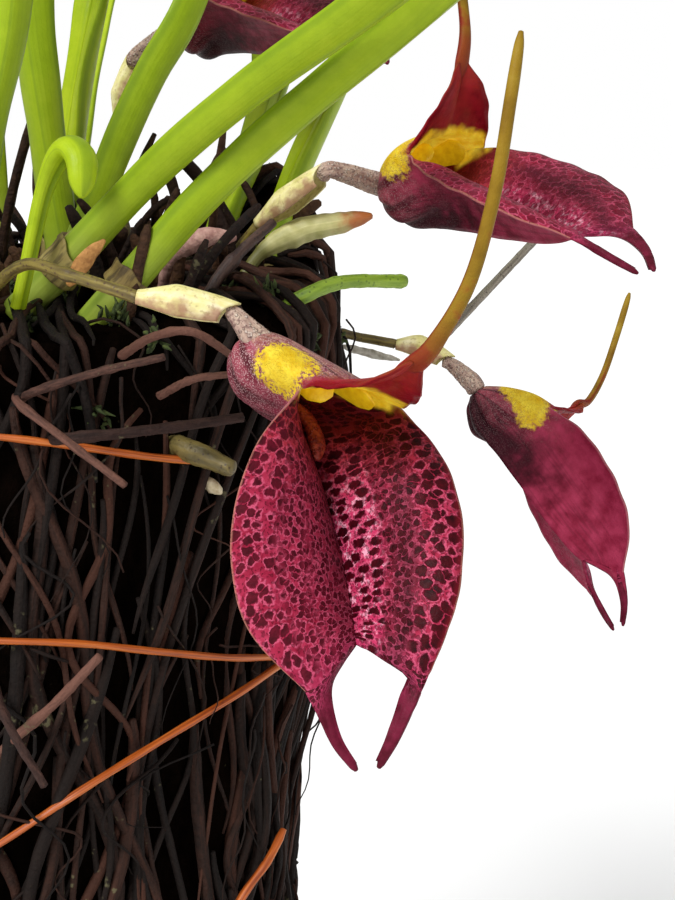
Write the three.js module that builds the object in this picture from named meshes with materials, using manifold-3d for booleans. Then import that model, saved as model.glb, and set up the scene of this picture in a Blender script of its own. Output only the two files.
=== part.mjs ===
// A potted masdevallia: a tuft of narrow, thick green leaves and four spotted, three-tailed flowers on a
// tall ball of roots, in a plain terracotta pot.
// Millimetres, +Z up, origin at the middle of the pot's flat base.
import * as THREE from 'three';
import { mergeVertices } from 'three/addons/utils/BufferGeometryUtils.js';
import Module from 'manifold-3d';

const wasm = await Module();
wasm.setup();

// Driving dimensions

const GAP = 0.3;                 // between two pieces that touch on the real plant

const POT_HEIGHT = 60;
const POT_RIM_RADIUS = 45;
const POT_BASE_RADIUS = 32;
const POT_WALL = 4;
const POT_FLOOR = 5;
const POT_RIM_BAND = 14;         // height of the thicker band under the rim
const POT_SIDES = 36;
const DRAIN_RADIUS = 5;
const DRAIN_CIRCLE = 18;         // the drain holes' distance from the middle
const DRAIN_COUNT = 3;
const DRAIN_SIDES = 12;

const MIX_LEVEL = 53;            // top of the bark round the root ball
const MIX_SIDES = 30;
const CHIP_COUNT = 20;

const BALL_BOTTOM = 22;
const BALL_SMOOTH_BELOW = 60;    // the part that stands in the mix has no lumps
const BALL_SHOULDER = 150;
const BALL_CROWN = 154.5;        // where the leaves come out
const BALL_SIDES = 24;
const ROOT_COUNT = 17;           // thick roots on the ball's side
const ROOT_RADIUS = 0.75;
const ROOT_SIDES = 4;

const LEAF_BASE_HALF_WIDTH = 1.9;
const LEAF_BLADE_HALF_WIDTH = 6.6;
const LEAF_EDGE = 0.32;          // half the thickness of a leaf's edge
const LEAF_ROOT_DEPTH = 7;       // length of stalk that stands in the root ball

const STALK_RADIUS = 0.75;
const STALK_SIDES = 6;
const SEPAL_THICKNESS = 0.8;
const NEEDLE_RADIUS = 0.5;

// The plant is laid out in the frame of one level view of it, a little from above: right, up and near
// (towards the viewer), in millimetres from the middle of the view, which is near the largest flower.
const VIEW_ELEVATION = THREE.MathUtils.degToRad(10);
const VIEW_MIDDLE = new THREE.Vector3(34, -45, 142);
const VIEW_RIGHT = new THREE.Vector3(1, 0, 0);
const VIEW_UP = new THREE.Vector3(0, Math.sin(VIEW_ELEVATION), Math.cos(VIEW_ELEVATION));
const VIEW_NEAR = new THREE.Vector3(0, -Math.cos(VIEW_ELEVATION), Math.sin(VIEW_ELEVATION));

// Colours and finishes

const finish = (color, roughness) => new THREE.MeshStandardMaterial({ color, roughness, metalness: 0 });
const TERRACOTTA = finish(0xb5694a, 0.9);
const BARK = finish(0x5a3d28, 0.95);
const ROOTS = finish(0x2e1f18, 0.9);
const LEAF_GREEN = finish(0x86a82a, 0.4);
const STALK_OLIVE = finish(0x7d7a3a, 0.6);
const BRACT_CREAM = finish(0xd8cf98, 0.6);
const OVARY_MAUVE = finish(0x8a6a66, 0.7);
const PETAL_CRIMSON = finish(0x8e1c45, 0.45);
const LIP_ORANGE = finish(0x9c3b26, 0.45);
const DRY_BROWN = finish(0x6d4a33, 0.8);
const GREEN_STEM = finish(0x6f8f35, 0.5);
const NEEDLE_ORANGE = finish(0xb5581f, 0.5);

// Small helpers

function seededRandom(seed) {
  let state = seed;
  return () => {
    state = (state * 1664525 + 1013904223) % 4294967296;
    return state / 4294967296;
  };
}

function direction(right, up, near) {
  return new THREE.Vector3()
    .addScaledVector(VIEW_RIGHT, right)
    .addScaledVector(VIEW_UP, up)
    .addScaledVector(VIEW_NEAR, near);
}

function at(right, up, near) {
  return direction(right, up, near).add(VIEW_MIDDLE);
}

// A value read from a list of [position, value] pairs, straight between them.
function profile(pairs, position) {
  if (position <= pairs[0][0]) {
    return pairs[0][1];
  }
  for (let i = 1; i < pairs.length; i += 1) {
    const [x0, y0] = pairs[i - 1];
    const [x1, y1] = pairs[i];
    if (position <= x1) {
      return THREE.MathUtils.mapLinear(position, x0, x1, y0, y1);
    }
  }
  return pairs[pairs.length - 1][1];
}

function smoothCurve(points) {
  return new THREE.CatmullRomCurve3(points, false, 'catmullrom', 0.5);
}

// A closed solid through rings of equally many points, with a flat fan over each end ring.
function loft(rings) {
  const sides = rings[0].length;
  const positions = [];
  const index = [];
  for (const ring of rings) {
    for (const p of ring) {
      positions.push(p.x, p.y, p.z);
    }
  }
  for (let row = 0; row < rings.length - 1; row += 1) {
    for (let i = 0; i < sides; i += 1) {
      const next = (i + 1) % sides;
      const a = row * sides + i;
      const b = row * sides + next;
      const c = (row + 1) * sides + next;
      const d = (row + 1) * sides + i;
      index.push(a, b, c, a, c, d);
    }
  }
  for (const [row, facesStart] of [[0, true], [rings.length - 1, false]]) {
    const middle = positions.length / 3;
    const centre = rings[row].reduce((sum, p) => sum.add(p), new THREE.Vector3()).divideScalar(sides);
    positions.push(centre.x, centre.y, centre.z);
    for (let i = 0; i < sides; i += 1) {
      const a = row * sides + i;
      const b = row * sides + (i + 1) % sides;
      if (facesStart) {
        index.push(middle, b, a);
      } else {
        index.push(middle, a, b);
      }
    }
  }
  const geometry = new THREE.BufferGeometry();
  geometry.setAttribute('position', new THREE.Float32BufferAttribute(positions, 3));
  geometry.setIndex(index);
  return geometry;
}

function solidOf(source) {
  const geometry = source.clone();
  geometry.deleteAttribute('normal');
  geometry.deleteAttribute('uv');
  const merged = mergeVertices(geometry, 1e-5);
  const solid = new wasm.Manifold(new wasm.Mesh({
    numProp: 3,
    vertProperties: new Float32Array(merged.attributes.position.array),
    triVerts: new Uint32Array(merged.index.array),
  }));
  return solid.volume() < 0 ? solidOf(turnedInsideOut(merged)) : solid;
}

function turnedInsideOut(geometry) {
  const turned = geometry.clone();
  const old = geometry.index.array;
  const index = [];
  for (let i = 0; i < old.length; i += 3) {
    index.push(old[i], old[i + 2], old[i + 1]);
  }
  turned.setIndex(index);
  return turned;
}

function geometryOf(solid) {
  const mesh = solid.getMesh();
  const geometry = new THREE.BufferGeometry();
  const positions = new Float32Array(mesh.numVert * 3);
  for (let i = 0; i < mesh.numVert; i += 1) {
    for (let axis = 0; axis < 3; axis += 1) {
      positions[i * 3 + axis] = mesh.vertProperties[i * mesh.numProp + axis];
    }
  }
  geometry.setAttribute('position', new THREE.BufferAttribute(positions, 3));
  geometry.setIndex(new THREE.BufferAttribute(new Uint32Array(mesh.triVerts), 1));
  return geometry;
}

function joined(solids) {
  return solids.reduce((whole, solid) => whole.add(solid));
}

// A cut can leave loose crumbs, which are dropped.
function largestBody(solid) {
  const bodies = solid.decompose();
  return bodies.reduce((best, body) => (body.volume() > best.volume() ? body : best));
}

const plant = new THREE.Group();

function addPiece(name, solid, material) {
  const geometry = geometryOf(solid);
  geometry.computeVertexNormals();
  const mesh = new THREE.Mesh(geometry, material);
  mesh.name = name;
  plant.add(mesh);
}

// Evenly spaced numbers, both ends included
function steps(from, to, count) {
  return Array.from({ length: count + 1 }, (_, i) => from + ((to - from) * i) / count);
}

// A round stalk of changing radius along a curve, with plain sides.
function stalkSolid(points, radii, { sides = STALK_SIDES, stations = 8 } = {}) {
  const curve = smoothCurve(points);
  const frames = curve.computeFrenetFrames(stations, false);
  const rings = [];
  for (let i = 0; i <= stations; i += 1) {
    const u = i / stations;
    const middle = curve.getPointAt(u);
    const radius = profile(radii, u);
    const ring = [];
    for (let k = 0; k < sides; k += 1) {
      const angle = (2 * Math.PI * k) / sides;
      ring.push(middle.clone()
        .addScaledVector(frames.normals[i], radius * Math.cos(angle))
        .addScaledVector(frames.binormals[i], radius * Math.sin(angle)));
    }
    rings.push(ring);
  }
  return solidOf(loft(rings));
}

// The plain round hole that a stem stands in, from its root out past the surface.
function holeSolid(root, heading, length, radius) {
  const geometry = new THREE.CylinderGeometry(radius, radius, length, 8);
  const turn = new THREE.Quaternion().setFromUnitVectors(new THREE.Vector3(0, 1, 0), heading);
  geometry.applyQuaternion(turn);
  const middle = root.clone().addScaledVector(heading, length / 2);
  geometry.translate(middle.x, middle.y, middle.z);
  return solidOf(geometry);
}

// What is cut out of the root ball for the pieces that stand in it or lie against it.
const ballCuts = [];

// Pot

function makePot() {
  const bandTop = POT_HEIGHT;
  const bandBottom = POT_HEIGHT - POT_RIM_BAND;
  const rimInner = POT_RIM_RADIUS - POT_WALL;
  const outline = [
    [0, 0],
    [POT_BASE_RADIUS - 1, 0],
    [POT_BASE_RADIUS, 1],
    [POT_RIM_RADIUS - 5, bandBottom],
    [POT_RIM_RADIUS - 2.5, bandBottom],
    [POT_RIM_RADIUS - 1.5, bandBottom + 1],
    [POT_RIM_RADIUS, bandTop - 1.5],
    [POT_RIM_RADIUS - 1, bandTop],
    [rimInner + 1, bandTop],
    [rimInner, bandTop - 1.5],
    [POT_BASE_RADIUS - POT_WALL, POT_FLOOR],
    [0, POT_FLOOR],
  ].map(([radius, height]) => new THREE.Vector2(radius, height));
  const lathe = new THREE.LatheGeometry(outline, POT_SIDES);
  lathe.rotateX(Math.PI / 2);
  let pot = solidOf(lathe);
  for (let i = 0; i < DRAIN_COUNT; i += 1) {
    const angle = (2 * Math.PI * i) / DRAIN_COUNT + Math.PI / 2;
    const drain = new THREE.CylinderGeometry(DRAIN_RADIUS, DRAIN_RADIUS, 4 * POT_FLOOR, DRAIN_SIDES);
    drain.rotateX(Math.PI / 2);
    drain.translate(DRAIN_CIRCLE * Math.cos(angle), DRAIN_CIRCLE * Math.sin(angle), 0);
    pot = pot.subtract(solidOf(drain));
  }
  addPiece('pot', pot, TERRACOTTA);
}

// Radius of the pot's inner wall at a height
function potInnerRadius(z) {
  return THREE.MathUtils.mapLinear(z, POT_FLOOR, POT_HEIGHT - 1.5, POT_BASE_RADIUS - POT_WALL,
    POT_RIM_RADIUS - POT_WALL);
}

// Root ball: a tall core with a lumpy wall, a sloping top, and roots that run down its side

const BALL_RADIUS_BY_HEIGHT = [
  [BALL_BOTTOM, 25], [50, 28.5], [60, 29], [100, 29.5], [115, 30.5], [130, 32], [145, 33.5], [152, 34],
];

function ballRadius(z) {
  return profile(BALL_RADIUS_BY_HEIGHT, z);
}

function ballLump(angle, z) {
  const fade = THREE.MathUtils.smoothstep(z, BALL_SMOOTH_BELOW, BALL_SMOOTH_BELOW + 14);
  const broad = 0.9 * Math.sin(3 * angle + 0.06 * z) + 0.8 * Math.sin(5 * angle - 0.1 * z + 1);
  const ridges = 0.6 * Math.sin(9 * angle + 0.06 * z + 2 * Math.sin(0.07 * z));
  return fade * (broad + ridges);
}

// Height of the ball's top over a point of the plan: nearly level, with a mound of old roots at the right,
// behind the tuft
const MOUND = { x: 28, y: 17, height: 9, spread: 6.5 };

function ballTop(x, y) {
  const away = ((x - MOUND.x) ** 2 + (y - MOUND.y) ** 2) / (2 * MOUND.spread ** 2);
  const mound = MOUND.height * Math.exp(-away);
  return BALL_CROWN + 0.02 * x + 0.1 * y + 0.5 * Math.sin(0.5 * x + 1) * Math.cos(0.45 * y) + mound;
}

// The top's rings: each one's share of the radius, and how far it lies under the top at the round shoulder
const TOP_RINGS = [[0.98, 2.4], [0.91, 0.8], [0.78, 0.1], [0.5, 0], [0.2, 0]];

function ballCore() {
  const rings = [];
  const heights = [BALL_BOTTOM + GAP, 42, 58, 66, 76, 87, 98, 109, 120, 131, 141, BALL_SHOULDER];
  const angles = Array.from({ length: BALL_SIDES }, (_, i) => (2 * Math.PI * i) / BALL_SIDES);
  for (const z of heights) {
    rings.push(angles.map((angle) => {
      const r = ballRadius(z) + ballLump(angle, z);
      return new THREE.Vector3(r * Math.cos(angle), r * Math.sin(angle), z);
    }));
  }
  for (const [share, drop] of TOP_RINGS) {
    rings.push(angles.map((angle) => {
      const r = share * (ballRadius(BALL_SHOULDER) + ballLump(angle, BALL_SHOULDER));
      const x = r * Math.cos(angle);
      const y = r * Math.sin(angle);
      return new THREE.Vector3(x, y, ballTop(x, y) - drop);
    }));
  }
  return solidOf(loft(rings));
}

function rootSolid(random) {
  const startAngle = 2 * Math.PI * random();
  const lean = (random() - 0.62) * 0.7;
  const wave = 0.05 + 0.08 * random();
  const top = BALL_SHOULDER - 26 * random() * random();
  const bottom = 62 + 40 * random() * random();
  const standOff = 0.1 + 0.9 * random();
  const points = [];
  const count = 7;
  for (let i = 0; i <= count; i += 1) {
    const u = i / count;
    const z = THREE.MathUtils.lerp(top, bottom, u);
    const angle = startAngle + lean * u + wave * Math.sin(9 * u + 6 * startAngle);
    const bow = standOff * Math.sin(Math.PI * Math.min(1, 1.15 * u));
    const r = ballRadius(z) + ballLump(angle, z) + bow - (i === 0 || i === count ? 1.2 : 0);
    points.push(new THREE.Vector3(r * Math.cos(angle), r * Math.sin(angle), z));
  }
  const radius = ROOT_RADIUS * (0.75 + 0.5 * random());
  return stalkSolid(points, [[0, radius], [1, 0.7 * radius]], { sides: ROOT_SIDES, stations: 5 });
}

// Dead twigs and stem stubs that stick out of the ball, each from inside it to its broken end
const TWIGS = [
  { points: [at(-32, 4, -22), at(-28.8, 5.2, -11), at(-22, 7, -6.5), at(-15.5, 8.3, -4)], radius: 0.6 },
  { points: [at(-31, 6, -24), at(-30, 4.6, -11.5), at(-24.8, 0.9, -7.5), at(-19.2, -3.2, -6)], radius: 0.6 },
  { points: [at(-30, 1, -26), at(-26, 1, -11), at(-18, 1.8, -11), at(-9, 3.1, -14)], radius: 0.7 },
  { points: [at(-19, 0, -34), at(-16, 0.5, -19), at(-10.1, -1.8, -15)], radius: 0.9 },
  { points: [at(-34, -22, -20), at(-31, -25, -11), at(-27, -31, -9)], radius: 0.6 },
];

function makeRootBall() {
  const random = seededRandom(7);
  const solids = [ballCore()];
  for (let i = 0; i < ROOT_COUNT; i += 1) {
    solids.push(rootSolid(random));
  }
  for (const { points, radius } of TWIGS) {
    solids.push(stalkSolid(points, [[0, radius], [1, 0.8 * radius]], { sides: ROOT_SIDES, stations: 5 }));
  }
  let ball = joined(solids);
  for (const cut of ballCuts) {
    ball = ball.subtract(cut);
  }
  addPiece('root_ball', largestBody(ball), ROOTS);
}

// Potting mix: bark that fills the pot up to the root ball, with chips standing out of its top

function makeMix() {
  const random = seededRandom(23);
  const bottom = POT_FLOOR + GAP;
  const wallRing = (z) => Array.from({ length: MIX_SIDES }, (_, i) => {
    const angle = (2 * Math.PI * i) / MIX_SIDES;
    const r = potInnerRadius(z) - GAP - 0.2;
    return new THREE.Vector3(r * Math.cos(angle), r * Math.sin(angle), z);
  });
  const topRing = (share) => Array.from({ length: MIX_SIDES }, (_, i) => {
    const angle = (2 * Math.PI * i) / MIX_SIDES;
    const r = share * (potInnerRadius(MIX_LEVEL) - 1);
    const height = MIX_LEVEL + 1.6 * (random() - 0.5);
    return new THREE.Vector3(r * Math.cos(angle), r * Math.sin(angle), height);
  });
  const walls = [bottom, MIX_LEVEL - 2].map(wallRing);
  const tops = [0.97, 0.87, 0.77, 0.4].map(topRing);
  let mix = solidOf(loft([...walls, ...tops]));
  const chipCircle = potInnerRadius(MIX_LEVEL) - 6.4;
  for (let i = 0; i < CHIP_COUNT; i += 1) {
    const size = [5 + 3 * random(), 3.5 + 1.5 * random(), 2.2 + random()];
    const chip = new THREE.BoxGeometry(...size);
    const angle = (2 * Math.PI * (i + 0.6 * random())) / CHIP_COUNT;
    chip.rotateX(0.9 * (random() - 0.5));
    chip.rotateY(0.5 * (random() - 0.5));
    chip.rotateZ(angle + Math.PI / 2 + (random() - 0.5));
    const r = chipCircle - 2.5 * random();
    chip.translate(r * Math.cos(angle), r * Math.sin(angle), MIX_LEVEL + 0.6);
    mix = mix.add(solidOf(chip));
  }
  const socketRadius = (z) => ballRadius(z) + GAP + 0.2;
  const socketTop = BALL_SMOOTH_BELOW + 20;
  const socket = [
    [0, BALL_BOTTOM],
    [ballRadius(BALL_BOTTOM) + GAP, BALL_BOTTOM],
    [socketRadius(42), 42],
    [socketRadius(58), 58],
    [socketRadius(58), socketTop],
    [0, socketTop],
  ].map(([radius, height]) => new THREE.Vector2(radius, height));
  const socketLathe = new THREE.LatheGeometry(socket, BALL_SIDES);
  socketLathe.rotateX(Math.PI / 2);
  socketLathe.rotateZ(Math.PI / 2);
  mix = mix.subtract(solidOf(socketLathe));
  addPiece('potting_mix', largestBody(mix), BARK);
}

// Leaves: a grooved stalk that widens into a thick, blunt blade

const LEAF_HALF_WIDTH = [
  [0, 1], [0.15, 1], [0.35, 1.15], [0.5, 1.5], [0.62, 2.3], [0.74, 3.2], [0.84, 3.45], [0.92, 2.9],
  [0.97, 1.9], [1, 0.7],
].map(([u, share]) => [u, share * LEAF_BASE_HALF_WIDTH]);
const LEAF_BLADE_SHARE = LEAF_BLADE_HALF_WIDTH / (3.45 * LEAF_BASE_HALF_WIDTH);
const LEAF_THICKNESS = [[0, 2.8], [0.2, 2.5], [0.5, 1.8], [0.75, 1.4], [1, 0.9]];
const LEAF_FOLD = [[0, 0.1], [0.15, 0.2], [0.3, 0.45], [0.6, 0.35], [0.9, 0.22], [1, 0.15]];
const LEAF_STATION_PLACES = [0, 0.12, 0.27, 0.43, 0.58, 0.71, 0.83, 0.94, 1];

function leafSection(middle, side, normal, halfWidth, thickness, fold) {
  const lift = fold * halfWidth;
  const outline = [
    [-1, lift + LEAF_EDGE], [-1, lift - LEAF_EDGE], [-0.55, 0.4 * lift - 0.25 * thickness],
    [0, -0.5 * thickness], [0.55, 0.4 * lift - 0.25 * thickness], [1, lift - LEAF_EDGE],
    [1, lift + LEAF_EDGE], [0.5, 0.4 * lift + 0.5 * thickness], [0, 0.5 * thickness],
    [-0.5, 0.4 * lift + 0.5 * thickness],
  ];
  return outline.map(([across, height]) => middle.clone()
    .addScaledVector(side, across * halfWidth)
    .addScaledVector(normal, height));
}

function makeLeaf(name, visiblePoints, { size = 1, facing = null } = {}) {
  const heading = visiblePoints[1].clone().sub(visiblePoints[0]).normalize();
  const root = visiblePoints[0].clone().addScaledVector(heading, -LEAF_ROOT_DEPTH);
  const curve = smoothCurve([root, ...visiblePoints]);
  const rings = LEAF_STATION_PLACES.map((u) => {
    const middle = curve.getPointAt(u);
    const tangent = curve.getTangentAt(u);
    const inward = facing ?? new THREE.Vector3(-middle.x, -middle.y, 30);
    const side = tangent.clone().cross(inward).normalize();
    const normal = side.clone().cross(tangent).normalize();
    const halfWidth = size * profile(LEAF_HALF_WIDTH, u) * (u > 0.5 ? LEAF_BLADE_SHARE : 1);
    return leafSection(middle, side, normal, halfWidth, profile(LEAF_THICKNESS, u) * Math.min(1, size),
      profile(LEAF_FOLD, u));
  });
  addPiece(name, solidOf(loft(rings)), LEAF_GREEN);
  const holeRadius = LEAF_BASE_HALF_WIDTH * size * 1.27 + GAP;
  const holeMiddle = root.clone().addScaledVector(heading, -GAP);
  ballCuts.push(holeSolid(holeMiddle, heading, 2.2 * LEAF_ROOT_DEPTH, holeRadius));
}

// The leaves that one side of the plant shows, each from where it leaves the root ball to its tip
const SEEN_LEAVES = [
  [at(-27.2, 18, -20), at(-17.9, 26.3, -15), at(-8, 32.8, -8), at(5.4, 40, 2), at(16, 50, 7), at(28, 64, 9),
    at(38, 80, 7)],
  [at(-20.5, 16.5, -19), at(-13.2, 24, -16), at(-4.5, 31, -12), at(8.3, 40, -5), at(18, 49, -4),
    at(29, 58, -5), at(42, 67, -8)],
  [at(-27.5, 20, -30), at(-23.3, 30, -28.5), at(-19.1, 38.3, -27), at(-15, 45.1, -26), at(-11, 58, -27),
    at(-8, 74, -31), at(-7, 92, -38)],
  [at(-29.6, 20.5, -37), at(-31, 33, -34), at(-32, 42.3, -32), at(-33.5, 58, -31), at(-36, 76, -33),
    at(-40, 95, -38)],
  [at(-31.5, 22, -46), at(-30, 36, -45), at(-27.4, 49.8, -44), at(-25, 64, -46), at(-24, 82, -51),
    at(-25, 100, -60)],
  [at(-36.5, 18, -19.5), at(-34.5, 30, -18), at(-31.5, 43, -16), at(-31, 58, -14), at(-34, 78, -12),
    at(-41, 97, -13)],
  [at(-15.5, 18, -41), at(-12.5, 28, -48), at(-9.5, 37, -57), at(-7, 50, -66), at(-6, 65, -73),
    at(-8, 82, -82)],
  [at(-9.5, 18.5, -44), at(-5.5, 30, -48), at(-1, 41, -54), at(4, 53, -61), at(12, 65, -68), at(24, 77, -76)],
];

// The leaves of the hidden side: where each stands on the crown, which way it leans and how far
const HIDDEN_LEAVES = [
  { x: -9, y: -17, towards: 215, lean: 33, length: 104 },
  { x: -14, y: -6, towards: 178, lean: 38, length: 112 },
  { x: -8, y: 3, towards: 150, lean: 22, length: 108 },
  { x: -15, y: 9, towards: 132, lean: 42, length: 100 },
  { x: -7, y: 15, towards: 106, lean: 34, length: 106 },
  { x: 0, y: 23, towards: 82, lean: 48, length: 98 },
  { x: -20, y: -15, towards: 236, lean: 52, length: 88 },
  { x: -10, y: -26, towards: 250, lean: 42, length: 90 },
];

function hiddenLeafPoints({ x, y, towards, lean, length }) {
  const azimuth = THREE.MathUtils.degToRad(towards);
  const outward = new THREE.Vector3(Math.cos(azimuth), Math.sin(azimuth), 0);
  const points = [];
  const stretches = 6;
  const place = new THREE.Vector3(x, y, ballTop(x, y) - 0.5);
  for (let i = 0; i <= stretches; i += 1) {
    points.push(place.clone());
    const angle = THREE.MathUtils.degToRad(lean * (0.55 + 0.95 * (i / stretches)));
    place.addScaledVector(outward, (length / stretches) * Math.sin(angle));
    place.z += (length / stretches) * Math.cos(angle);
  }
  return points;
}

function makeLeaves() {
  let number = 1;
  const nextName = () => {
    const name = `leaf_${String(number).padStart(2, '0')}`;
    number += 1;
    return name;
  };
  for (const points of SEEN_LEAVES) {
    makeLeaf(nextName(), points);
  }
  for (const leaf of HIDDEN_LEAVES) {
    makeLeaf(nextName(), hiddenLeafPoints(leaf));
  }
  const young = [at(-29.8, 17.5, -15.5), at(-28, 25, -15), at(-25.6, 28.6, -13), at(-23.6, 27.6, -11.5),
    at(-23.2, 23.5, -10.5)];
  makeLeaf(nextName(), young, { size: 0.55, facing: direction(0.6, -0.8, 0.2) });
}

// Flowers. In a flower's own frame x runs across it, y from the keel of the lower sepals out through the
// throat, and z from the throat towards the lower tails. Half of each outline is given, x mirrored.

const KEEL = [[0, -5, -7], [0, -6, -5.6], [0, -6.2, -3], [0, -5.2, 0], [0, -4.5, 5], [0, -3.9, 10],
  [0, -3.1, 15], [0, -2.2, 18.5], [0, -1.3, 20.5]];
const MARGIN = [[1.2, -3.4, -7.2], [3.6, -2, -5.5], [4.9, 0.6, -3], [5.4, 3, 0], [8.5, 3.2, 4.5],
  [10.2, 2.9, 9.5], [10.1, 2.5, 14.5], [8.5, 1.7, 19.5], [4.4, 0.2, 24.5]];
const DORSAL = [[0, -1.8, -7.2], [0, 0.8, -5.4], [0, 3.4, -2.8], [0, 5, -0.2]];
const THROAT_ROW = 3;            // the row of KEEL, MARGIN and DORSAL that lies at the throat

const FLOWERS = [
  { name: '1', middle: at(-0.5, 3.4, 0), across: direction(0.983, 0.144, 0.117),
    outward: direction(-0.162, 0.356, 0.92), size: 1, twist: 45, lean: [-3.4, -1.6],
    tail: [[0, 12.6, 1], [-0.5, 15.5, 0.4], [-1.6, 20.9, -3], [-7.4, 24.3, -8.4], [-9.5, 27.5, -14.2],
      [-10.5, 29.6, -19]],
    bract: [at(-17.4, 13.2, 0), at(-13.7, 12.7, 0.2), at(-9.6, 11.8, 0.2)],
    stalk: [at(-35, 14, -17), at(-29.1, 17, -9), at(-23.9, 15.6, -4), at(-17.8, 13.4, -0.2)] },
  { name: '2', middle: at(11.2, 28.3, -30), across: direction(0.804, 0.174, -0.569),
    outward: direction(0.069, 0.923, 0.379), size: 0.95, twist: 0, lean: [-1.6, 0.8],
    tail: [[0, 12.6, 1], [0.9, 16, 0], [2, 21, -2], [3, 27, -4], [3.6, 33, -4], [4, 39, -3]],
    bract: [at(-8.6, 24.4, -37), at(-5.1, 26.8, -35), at(-1.6, 28.9, -32.4)],
    stalk: [at(-16, 14, -33), at(-12, 20.5, -38.5), at(-8.9, 24, -37.2)] },
  { name: '3', middle: at(21.8, 2.4, -60), across: direction(-0.451, -0.343, -0.817),
    outward: direction(0.74, 0.36, -0.56), size: 0.86, twist: 0, lean: [0, 0.8],
    tail: [[0, 12.4, 0.6], [0.6, 15.1, 1], [0.3, 19.7, -1.4], [-1, 24.5, -5.7], [-3.2, 29, -10.3]],
    bract: [at(7.2, 12.9, -62), at(10, 12.5, -61.8), at(13, 10.9, -61.2)],
    stalk: [at(-8, 14, -52), at(-2, 14.6, -60), at(3, 13.8, -62), at(6.8, 13.1, -62)] },
  { name: '4', middle: at(-13.2, 52, -53), across: direction(0.8, 0.2, -0.57),
    outward: direction(0.05, 0.93, 0.37), size: 0.95, twist: 0, lean: [-0.8, 0],
    tail: [[0, 12.4, 0.8], [0, 16, 0], [0, 20.5, -2.5], [0, 25.5, -5], [0, 30.5, -6], [0, 35, -5]],
    bract: [at(-26.6, 40.5, -60), at(-26, 43, -59.8), at(-24.7, 46.6, -59)],
    stalk: [at(-22.5, 10, -42), at(-23.5, 21.5, -47), at(-26, 31, -54), at(-26.8, 39.6, -59.7)] },
];

// The whole flower leans and twists a little on its stalk: the shift grows up the tube, and the twist fades
// towards the lower tails.
const TWIST_LENGTH = 24.5;
const TWIST_POWER = 1.65;
const TUBE_LENGTH = 7;

function bent(point, flower) {
  const rise = THREE.MathUtils.clamp(-point.z / TUBE_LENGTH, 0, 1);
  const shift = 1 - (1 - rise) ** 2;
  const x = point.x + flower.lean[0] * shift;
  const y = point.y + flower.lean[1] * shift;
  const share = Math.max(0, 1 - point.z / TWIST_LENGTH) ** TWIST_POWER;
  const angle = THREE.MathUtils.degToRad(flower.twist) * Math.min(share, 1.5);
  return new THREE.Vector3(
    x * Math.cos(angle) + y * Math.sin(angle),
    y * Math.cos(angle) - x * Math.sin(angle),
    point.z,
  );
}

function flowerFrame(flower) {
  const across = flower.across.clone().normalize();
  const outward = flower.outward.clone().addScaledVector(across, -across.dot(flower.outward)).normalize();
  const downward = across.clone().cross(outward);
  return new THREE.Matrix4().makeBasis(across, outward, downward).setPosition(flower.middle);
}

// A point of the flower's own frame, placed on the plant
function placed(point, flower) {
  return bent(point, flower).multiplyScalar(flower.size).applyMatrix4(flowerFrame(flower));
}

const rail = (rows) => smoothCurve(rows.map(([x, y, z]) => new THREE.Vector3(x, y, z)));
const keelRail = rail(KEEL);
const marginRail = rail(MARGIN);
const dorsalRail = rail(DORSAL);

function bezier(a, b, c, d, u) {
  return new THREE.CubicBezierCurve3(a, b, c, d).getPoint(u);
}

// A point of the lower sepals: row from the tube's end (0) to the lower edge (1), across from -1 to 1.
// The two halves meet in a sharp valley and each swells towards the viewer before its margin.
function sepalPoint(row, across) {
  const share = row * (KEEL.length - 1);
  const keel = keelRail.getPoint(row);
  const margin = marginRail.getPoint(row);
  const open = THREE.MathUtils.smoothstep(share, THROAT_ROW - 1, THROAT_ROW + 1.5);
  const width = margin.x;
  const depth = margin.y - keel.y;
  const rise = new THREE.Vector3((0.62 - 0.36 * open) * width, 0.75 * open * depth, 0.6 * open).add(keel);
  const fall = new THREE.Vector3(-0.38 * open * width, (0.69 * open - 0.55) * depth, 0).add(margin);
  const point = bezier(keel, rise, fall, margin, Math.abs(across));
  if (across < 0) {
    point.x *= -1;
  }
  return point;
}

// A point of the tube's upper half, from one margin over the top to the other
function tubeTopPoint(row, across) {
  const margin = marginRail.getPoint(row);
  const top = dorsalRail.getPoint(Math.min(1, (row * (KEEL.length - 1)) / THROAT_ROW));
  const angle = (across * Math.PI) / 2;
  return new THREE.Vector3(
    margin.x * Math.sin(angle),
    margin.y + (top.y - margin.y) * Math.cos(angle),
    margin.z + (top.z - margin.z) * Math.cos(angle),
  );
}

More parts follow.
